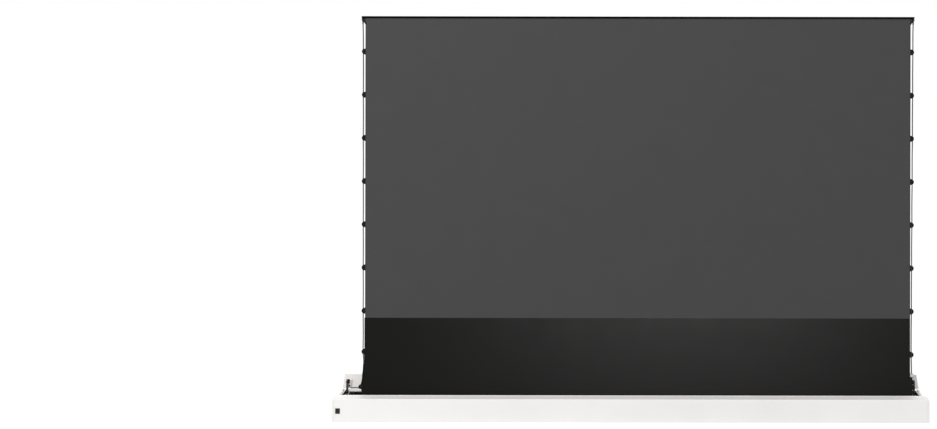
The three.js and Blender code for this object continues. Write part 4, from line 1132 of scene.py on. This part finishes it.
for side_name, side in SIDES:
    hole = Vector((cloth_edge[side] + side * CORD_OUT, cord_y, bar_bottom - EAR_HOLE_DROP))
    top = bar_bottom - EAR_FOOT - GAP
    length = top - (bar_bottom - EAR_DROP - FERRULE_OVERLAP)
    bm = bmesh.new()
    wire(bm, loop_line(hole, top, length), LOOP_RADIUS)
    cord_loop = keep(bm, f"cord_loop_{side_name}", "cord_grey")
    crimp = [(share * length, wide * FERRULE_RADIUS) for share, wide in CRIMP_SHARES]
    bm = bmesh.new()
    turned(bm, crimp, (hole.x, cord_y, top), (0, 0, -1), sides=24)
    ferrule = keep(bm, f"cord_ferrule_{side_name}", "plastic_black")
    stacked(CORD_STACK, cord_loop, ferrule)
    guard = [(lift * mm, wide * mm) for lift, wide in GUARD_SECTION]
    bm = bmesh.new()
    hoop(bm, guard, (hole.x, EAR_FRONT, hole.z), (0, -1, 0), sides=24)
    keep(bm, f"ear_guard_{side_name}", "plastic_black", "top_bar_body")
    print(side_name, "loop through the ear at", [round(v / mm, 1) for v in hole])

# %% [markdown]
# ## The lid's springs
#
# An extension spring is wound closed, with a loop at each end that hooks over a pin. The wire is
# drawn as one line: most of a turn for the lower loop, then the coil, then the upper loop. The
# loops are wide, so that they stay clear of their pins when the spring shortens.

# %% Lid springs
SPRING_WIRE = 0.55 * mm
SPRING_RADIUS = 2.5 * mm
SPRING_TURNS = 44
SPRING_TAIL = 9 * mm
SPRING_LOOP = 3.3 * mm
LOOP_TURN = 5 / 3 * math.pi
STEPS_PER_TURN = 14
HINGE_INSET = 10 * mm
HINGE_HEIGHT = 89.7 * mm
PEG_FORWARD = 36 * mm
PEG_DROP = 47 * mm
SPRING_PIN = (53.37 * mm, 111.77 * mm)
case_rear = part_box("rear_panel")[1].y
hinge = Vector((0, case_rear - HINGE_INSET, HINGE_HEIGHT))
peg = hinge - Vector((0, PEG_FORWARD, PEG_DROP))


def spring_line(length):
    """The wire's line for a spring that stands on the origin and reaches up by length."""
    line = []
    for k in range(STEPS_PER_TURN + 1):
        angle = (k / STEPS_PER_TURN - 1) * LOOP_TURN
        line.append(Vector((0, SPRING_LOOP * math.cos(angle), SPRING_LOOP * math.sin(angle))))
    coil = length - 2 * SPRING_TAIL
    count = SPRING_TURNS * STEPS_PER_TURN
    for k in range(count + 1):
        angle = math.pi / 2 + 2 * math.pi * k / STEPS_PER_TURN
        rise = SPRING_TAIL + coil * k / count
        line.append(Vector((SPRING_RADIUS * math.cos(angle), SPRING_RADIUS * math.sin(angle), rise)))
    for k in range(STEPS_PER_TURN + 1):
        angle = k / STEPS_PER_TURN * LOOP_TURN
        line.append(Vector((0, SPRING_LOOP * math.cos(angle), length + SPRING_LOOP * math.sin(angle))))
    return line


for side_name, side in SIDES:
    middle = box_of(f"lid_spring_{side_name}")[2]
    foot = Vector((middle.x, peg.y, peg.z))
    reach = Vector((foot.x, *SPRING_PIN)) - foot
    lean = math.atan2(-reach.y, reach.z)
    turn = Matrix.Translation(foot) @ Matrix.Rotation(lean, 4, "X")
    bm = bmesh.new()
    wire(bm, [turn @ point for point in spring_line(reach.length)], SPRING_WIRE, sides=8)
    spring = keep(bm, f"lid_spring_{side_name}_coil", "spring_black")
    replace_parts(spring, f"lid_spring_{side_name}")
    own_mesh(spring)
    print(side_name, "spring", round(reach.length / mm, 1), "mm between pins")

# %% [markdown]
# ## A dark strip on the lid
#
# Along the lid's root, just above its hinge tube, a thin black strip is painted shade, for the shade
# in the seam there. It stops short of the two levers. It is one rounded outline, carried along the lid.

# %% Lid strip
LID_ANGLE = math.radians(119)
STRIP_UP = 12.5 * mm
STRIP_OUT = 1.1 * mm
STRIP_HALF = (0.9 * mm, 1.3 * mm)
STRIP_END = 1194 * mm
STRIP_ROUND = 0.5 * mm
STRIP_TIP_SHARE = 0.7
lid_along = Vector((0, -math.cos(LID_ANGLE), math.sin(LID_ANGLE)))
lid_facing = Vector((0, -math.sin(LID_ANGLE), -math.cos(LID_ANGLE)))
strip_place = hinge + lid_along * STRIP_UP + lid_facing * STRIP_OUT
strip = rounded_outline(*STRIP_HALF)
tip = sized(strip, STRIP_TIP_SHARE)
loops = [(0, tip), (STRIP_ROUND, strip), (2 * STRIP_END - STRIP_ROUND, strip), (2 * STRIP_END, tip)]
bm = bmesh.new()
lofted(bm, strip_place - Vector((STRIP_END, 0, 0)), (1, 0, 0), loops, up=lid_along)
keep(bm, "lid_painted_shade_strip", "plastic_black", "lid")
print("strip at", [round(v / mm, 1) for v in strip_place])

# %% [markdown]
# ## Lever rollers
#
# At the top of each lever a hard plastic wheel turns on a bright axle with a domed head. On the
# real part these are two pieces, so they are two here, each turned from its own profile. A wheel's
# profile is the same from both faces, so it is written once and mirrored.

# %% Lever rollers
WHEEL_RADIUS = 9 * mm
WHEEL_WIDTH = 6 * mm
WHEEL_ROUND = 0.8 * mm
WHEEL_PLAY = 0.4 * mm
AXLE_RADIUS = 4 * mm
AXLE_HEAD = 5.9 * mm
AXLE_DOME = 3.2 * mm
DOME_STEPS = 10
LEVER_THICKNESS = 5 * mm
LEVER_EDGE = 24.5 * mm
WHEEL_SHARP = math.radians(40)
# Shares of the rounding: how far in from the face, and how far below the tread.
ROUND_SHARES = ((0, 1), (0.3, 0.3), (1, 0))
half_case = solid_box[1][0]
near = LEVER_THICKNESS + GAP
far = near + WHEEL_WIDTH
quarter_turns = [math.pi / 2 * k / DOME_STEPS for k in range(DOME_STEPS + 1)]
axle_profile = [(-GAP - AXLE_DOME * math.cos(a), AXLE_HEAD * math.sin(a)) for a in quarter_turns]
axle_profile += [(-GAP, AXLE_RADIUS), (far, AXLE_RADIUS), (far, 0)]
half_tread = [(0, AXLE_RADIUS + WHEEL_PLAY)]
half_tread += [(into * WHEEL_ROUND, WHEEL_RADIUS - down * WHEEL_ROUND) for into, down in ROUND_SHARES]
wheel_profile = [(near + into, radius) for into, radius in half_tread]
wheel_profile += [(far - into, radius) for into, radius in reversed(half_tread)]

for side_name, side in SIDES:
    centre = box_of(f"lever_roller_{side_name}")[2]
    centre.x = side * (half_case - LEVER_EDGE + LEVER_THICKNESS)
    body = f"{side_name}_lever_roller"
    bm = bmesh.new()
    turned(bm, axle_profile, centre, (-side, 0, 0))
    keep(bm, f"lever_axle_{side_name}", "zinc_steel", body, WHEEL_SHARP)
    bm = bmesh.new()
    turned(bm, wheel_profile, centre, (-side, 0, 0))
    wheel = keep(bm, f"lever_wheel_{side_name}", "plastic_black", body, WHEEL_SHARP)
    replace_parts(wheel, f"lever_roller_{side_name}")
    print(side_name, "wheel at", [round(v / mm, 1) for v in centre])

# %% [markdown]
# ## Cloth on the roller
#
# When the screen is up, one and a half turns of the mask stay on the tube. Seen from its end a
# roll is a spiral, so the cloth is a spiral line given a thickness and the width of the mask.

# %% Turns on the roller
TURNS = 1.5
SPIRAL_SECTIONS = 180
CLOTH_THICKNESS = 0.45 * mm
tube_low, tube_high, tube_middle = box_of("roller_tube")
turns_low, turns_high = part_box("fabric_turns")
spiral_start = (tube_high.z - tube_low.z) / 2 + GAP
spiral_climb = (turns_high.z - turns_low.z) / 2 - CLOTH_THICKNESS - spiral_start
section_turn = 2 * math.pi * TURNS / SPIRAL_SECTIONS

sections = range(SPIRAL_SECTIONS + 1)
inner = [(k * section_turn, spiral_start + spiral_climb * k / SPIRAL_SECTIONS) for k in sections]
outer = [(angle, radius + CLOTH_THICKNESS) for angle, radius in reversed(inner)]
bm = bmesh.new()
section = [(tube_middle.y + math.cos(a) * r, tube_middle.z + math.sin(a) * r) for a, r in inner + outer]
rings = [[bm.verts.new((x, y, z)) for y, z in section] for x in (turns_low.x, turns_high.x)]
skin_rings(bm, rings, ends=False)
for ring in rings:
    for k in range(SPIRAL_SECTIONS):
        bm.faces.new((ring[k], ring[k + 1], ring[-2 - k], ring[-1 - k]))
rolled = keep(bm, "fabric_turns_spiral", "mask_black", "roller", CLOTH_SHARP)
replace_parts(rolled, "fabric_turns")

# %% [markdown]
# ## Outlines for fasteners
#
# Small parts make a machine believable from near by. A recess is an outline too: a cross or a
# hexagon. A loft needs the same number of points all the way, so the round of the head is made
# from the recess: each point is pushed out, in its own direction, until it lies on a circle.

# %% Outlines of fasteners
QUARTERS = ((1, 0), (0, 1), (-1, 0), (0, -1))


def cross_outline(arm, half):
    """A cross with arms this long and half this wide, with a point in the middle of each flank."""
    flank = (arm + half) / 2
    quarter = [(arm, 0), (arm, half), (flank, half), (half, half), (half, flank), (half, arm)]
    return [(u * c - v * s, u * s + v * c) for c, s in QUARTERS for u, v in quarter]


def hex_outline(corner, parts=4):
    """A hexagon with each side in parts."""
    corners = [(corner * math.cos(math.pi / 3 * k), corner * math.sin(math.pi / 3 * k)) for k in range(7)]
    points = []
    for (u, v), (next_u, next_v) in zip(corners, corners[1:]):
        points += [(u + (next_u - u) * k / parts, v + (next_v - v) * k / parts) for k in range(parts)]
    return points


def rounded_like(points, radius):
    """A circle with as many points as the outline, each in the same direction."""
    return [(u / math.hypot(u, v) * radius, v / math.hypot(u, v) * radius) for u, v in points]


print("a cross has", len(cross_outline(2 * mm, 1 * mm)), "points, a hexagon", len(hex_outline(2 * mm)))

# %% [markdown]
# ## Screw heads, rivets, nuts and rings
#
# A screw head is a loft: round outlines up the dome, then the outline of the recess, then the same
# a little smaller at its bottom. A blind rivet is turned, a lock nut is a loft from a hexagon to
# its nylon collar, and a retaining ring is a small hoop. Each is a list of shares of its size.

# %% Fastener kit
ROOT = 0.1 * mm
FASTENER_SHARP = math.radians(35)
RING_THICKNESS = 0.7 * mm
# Shares of height and radius up the dome, and down into the recess.
DOME_SHARES = ((0.35, 1), (0.75, 0.92), (1, 0.74))
RECESS_SHARES = ((1, 1), (0.25, 0.88))
# Shares of the radius: height and distance from the middle.
RIVET_SHARES = ((0.12, 1), (0.28, 0.8), (0.34, 0.42), (0.22, 0.36), (0.2, 0))
# Shares of the height, then of the hexagon or of the circle inside it.
NUT_FLAT_SHARES = ((0.1, 0.985), (0.62, 0.985))
NUT_COLLAR_SHARES = ((0.72, 0.96), (0.92, 0.9), (1, 0.78), (1, 0.52), (0.75, 0.5))
# Shares of the thickness and of the radius.
RING_SHARES = ((0, 0.55), (0, 1), (0.8, 1), (1, 0.97), (1, 0.58), (0.8, 0.55))


def domed_head(bm, place, out, radius, height, recess):
    loops = [(-ROOT, rounded_like(recess, radius))]
    loops += [(height * up, rounded_like(recess, radius * wide)) for up, wide in DOME_SHARES]
    loops += [(height * up, sized(recess, wide)) for up, wide in RECESS_SHARES]
    lofted(bm, place, out, loops)


def pan_screw(bm, place, out, radius=3.4 * mm):
    domed_head(bm, place, out, radius, radius * 0.5, cross_outline(radius * 0.58, radius * 0.13))


def small_screw(bm, place, out):
    pan_screw(bm, place, out, radius=2.2 * mm)


def socket_screw(bm, place, out, radius=5.4 * mm):
    domed_head(bm, place, out, radius, radius * 0.22, hex_outline(radius * 0.5))


def blind_rivet(bm, place, out, radius=3.1 * mm):
    profile = [(-ROOT, 0), (-ROOT, radius), *sized(RIVET_SHARES, radius)]
    turned(bm, profile, place, out, sides=20)


def lock_nut(bm, place, out, corner=3.18 * mm, height=4 * mm):
    flats = hex_outline(corner)
    inside = corner * math.cos(math.pi / 6)
    loops = [(0, rounded_like(flats, inside))]
    loops += [(height * up, sized(flats, wide)) for up, wide in NUT_FLAT_SHARES]
    loops += [(height * up, rounded_like(flats, inside * wide)) for up, wide in NUT_COLLAR_SHARES]
    lofted(bm, place, out, loops)


def retaining_ring(bm, place, out, radius=6.6 * mm):
    hoop(bm, [(RING_THICKNESS * up, radius * wide) for up, wide in RING_SHARES], place, out)


def fastened(name, make, places, out, body="case", slot="zinc_steel"):
    """One piece that holds all fasteners of a kind on one body."""
    bm = bmesh.new()
    for place in places:
        make(bm, Vector(place), out)
    keep(bm, name, slot, body, FASTENER_SHARP)
    print(name, len(places))


def pair(x, y, z, spread):
    """Two places, spread to both sides of x."""
    return [(x + way * spread, y, z) for way in (-1, 1)]


print("fastener kit ready")

# %% [markdown]
# ## Rivets at the back
#
# Each place is worked out from the box of the piece that it holds. The rear panel is riveted to
# the floor panel by a long row, and the lid's saddles and the levers' brackets to the rear panel.

# %% Rivets
UP, DOWN, BACK, FORWARD = (0, 0, 1), (0, 0, -1), (0, 1, 0), (0, -1, 0)
RIVET_ROW_HEIGHT = 10.5 * mm
RIVET_PITCH = 220 * mm
RIVETS = 11
SADDLE_RIVETS = 9 * mm
SADDLE_RIVET_UP = 7 * mm
LEVER_RIVET_IN = 8 * mm
LEVER_RIVETS_UP = (8 * mm, 26 * mm)

rivets = [(RIVET_PITCH * (k - (RIVETS - 1) / 2), case_rear, RIVET_ROW_HEIGHT) for k in range(RIVETS)]
for saddle in ("left", "middle", "right"):
    low, _, middle = box_of(f"hinge_saddle_{saddle}")
    rivets += pair(middle.x, case_rear, low.z + SADDLE_RIVET_UP, SADDLE_RIVETS)
for side_name, side in SIDES:
    low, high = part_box(f"lever_bracket_{side_name}")
    inner_x = high.x if side < 0 else low.x
    rivets += [(inner_x + side * LEVER_RIVET_IN, case_rear, low.z + rise) for rise in LEVER_RIVETS_UP]
fastened("rear_rivets", blind_rivet, rivets, BACK)

# %% [markdown]
# ## Screws at the ends
#
# The end plates and the lid's end caps are held by cross-head screws, painted like the case. Their
# places on the plate are read from the small picture of the lever.

# %% End screws
END_SCREWS = ((-54, 14), (54, 14), (58, 76), (12, 82), (-31, 87))
LID_SCREW_UP = 33 * mm
LID_SCREW_BACK = 2.7 * mm
lid_screw = hinge + lid_along * LID_SCREW_UP - lid_facing * LID_SCREW_BACK

for side_name, side in SIDES:
    face_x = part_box(f"end_plate_{side_name}")[side > 0].x
    places = [(face_x, y * mm, z * mm) for y, z in END_SCREWS]
    fastened(f"end_screws_{side_name}", pan_screw, places, (side, 0, 0), slot="case_white")
    cap_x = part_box(f"lid_end_cap_{side_name}")[side > 0].x
    places = [(cap_x, lid_screw.y, lid_screw.z)]
    fastened(f"lid_screw_{side_name}", small_screw, places, (side, 0, 0), "lid", "case_white")

# %% [markdown]
# ## Fasteners of the lifting arms
#
# The shoulder brackets are screwed down, the spring housings have a screwed cover, the elbows turn
# on socket screws, and each hanger has two screws up into the bar and a retaining ring on its pin.
# The pin of each lever's spring carries a lock nut.

# %% Fasteners of the arms
SHOULDER_FOOT = 3 * mm
SHOULDER_SCREWS = 38 * mm
SHOULDER_SCREW_IN = 9 * mm
DRUM_STEP = 2 * mm
DRUM_SCREWS = 17 * mm
DRUM_ANGLES = (90, 210, 330)
HANGER_FLANGE = 3 * mm
HANGER_SCREWS = 14 * mm
HANGER_SCREW_IN = 9 * mm
HANGER_PIN_DROP = 38 * mm

for side_name, side in SIDES:
    low, high, middle = box_of(f"shoulder_bracket_{side_name}")
    feet = pair(middle.x, high.y - SHOULDER_SCREW_IN, low.z + SHOULDER_FOOT, SHOULDER_SCREWS)
    fastened(f"shoulder_screws_{side_name}", pan_screw, feet, UP)

    low, high, middle = box_of(f"spring_drum_{side_name}")
    middle.y = high.y - DRUM_STEP
    turns = [math.radians(angle) for angle in DRUM_ANGLES]
    cover = [middle + Vector((math.cos(a), 0, math.sin(a))) * DRUM_SCREWS for a in turns]
    fastened(f"drum_screws_{side_name}", pan_screw, cover, BACK)

    low, high, middle = box_of(f"hanger_{side_name}")
    under = pair(middle.x, low.y + HANGER_SCREW_IN, high.z - HANGER_FLANGE, HANGER_SCREWS)
    fastened(f"hanger_screws_{side_name}", pan_screw, under, DOWN, "top_bar_body")
    pin_end = [(middle.x, high.y, bar_bottom - HANGER_PIN_DROP)]
    fastened(f"hanger_ring_{side_name}", retaining_ring, pin_end, BACK, "top_bar_body")

    low, high, middle = box_of(f"elbow_pin_{side_name}")
    for face, y, out in (("rear", high.y, BACK), ("front", low.y, FORWARD)):
        end = [(middle.x, y, middle.z)]
        fastened(f"elbow_screw_{face}_{side_name}", socket_screw, end, out, f"{side_name}_upper_arm")

    pin_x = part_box(f"lid_lever_{side_name}")[side < 0].x
    nut = [(pin_x, *SPRING_PIN)]
    fastened(f"spring_nut_{side_name}", lock_nut, nut, (-side, 0, 0), f"{side_name}_lever", "plastic_black")

# %% [markdown]
# ## Screws of the roller's brackets
#
# The motor's bracket and the idler's bracket stand on a foot, each held by two screws, one before
# and one behind the roller's axis.

# %% Bracket screws
BRACKET_PLATE = 3 * mm
BRACKET_SCREWS = 13 * mm
BRACKET_SCREW_IN = 10 * mm

for bracket, side in (("motor_bracket", -1), ("idler_bracket", 1)):
    low, high, middle = box_of(bracket)
    foot_x = low.x + BRACKET_SCREW_IN if side < 0 else high.x - BRACKET_SCREW_IN
    places = [(foot_x, middle.y + way * BRACKET_SCREWS, low.z + BRACKET_PLATE) for way in (-1, 1)]
    fastened(f"{bracket}_screws", pan_screw, places, UP)

# %% [markdown]
# ## Pins of the power inlet
#
# The inlet's socket is empty without its three flat pins. The earth pin stands a little higher
# than the other two. Each is a bar with its tip drawn in, lofted through four outlines.

# %% Inlet pins
PIN_SPREAD = 6.5 * mm
PIN_LIFT = 2.2 * mm
PIN_DROP = 1 * mm
PIN_HALF = (1.0 * mm, 1.9 * mm)
PIN_LENGTH = 10 * mm
SOCKET_FLOOR = 2 * mm
# Shares of the length, the thickness and the width.
PIN_SHARES = ((0, 1, 1), (0.82, 1, 1), (0.94, 0.85, 0.92), (1, 0.5, 0.7))

low, _, middle = box_of("power_inlet")
socket_back = low.y + SOCKET_FLOOR
half_thick, half_wide = PIN_HALF
loops = [
    (share * PIN_LENGTH, rounded_outline(half_thick * thin, half_wide * narrow))
    for share, thin, narrow in PIN_SHARES
]
bm = bmesh.new()
for way in (-1, 0, 1):
    lift = PIN_LIFT if way == 0 else -PIN_LIFT
    place = (middle.x + way * PIN_SPREAD, socket_back, middle.z - PIN_DROP + lift)
    lofted(bm, place, BACK, loops, up=UP)
keep(bm, "inlet_pins", "zinc_steel", sharp=FASTENER_SHARP)
print("three pins, from", round(socket_back / mm, 1), "to", round((socket_back + PIN_LENGTH) / mm, 1), "mm")

# %% [markdown]
# ## Sizes
#
# A dressed model must keep the size of its solids, so their box, measured when they were loaded, is printed.

# %% Sizes and finish
print("solids ", [[round(v, 4) for v in c] for c in solid_box])
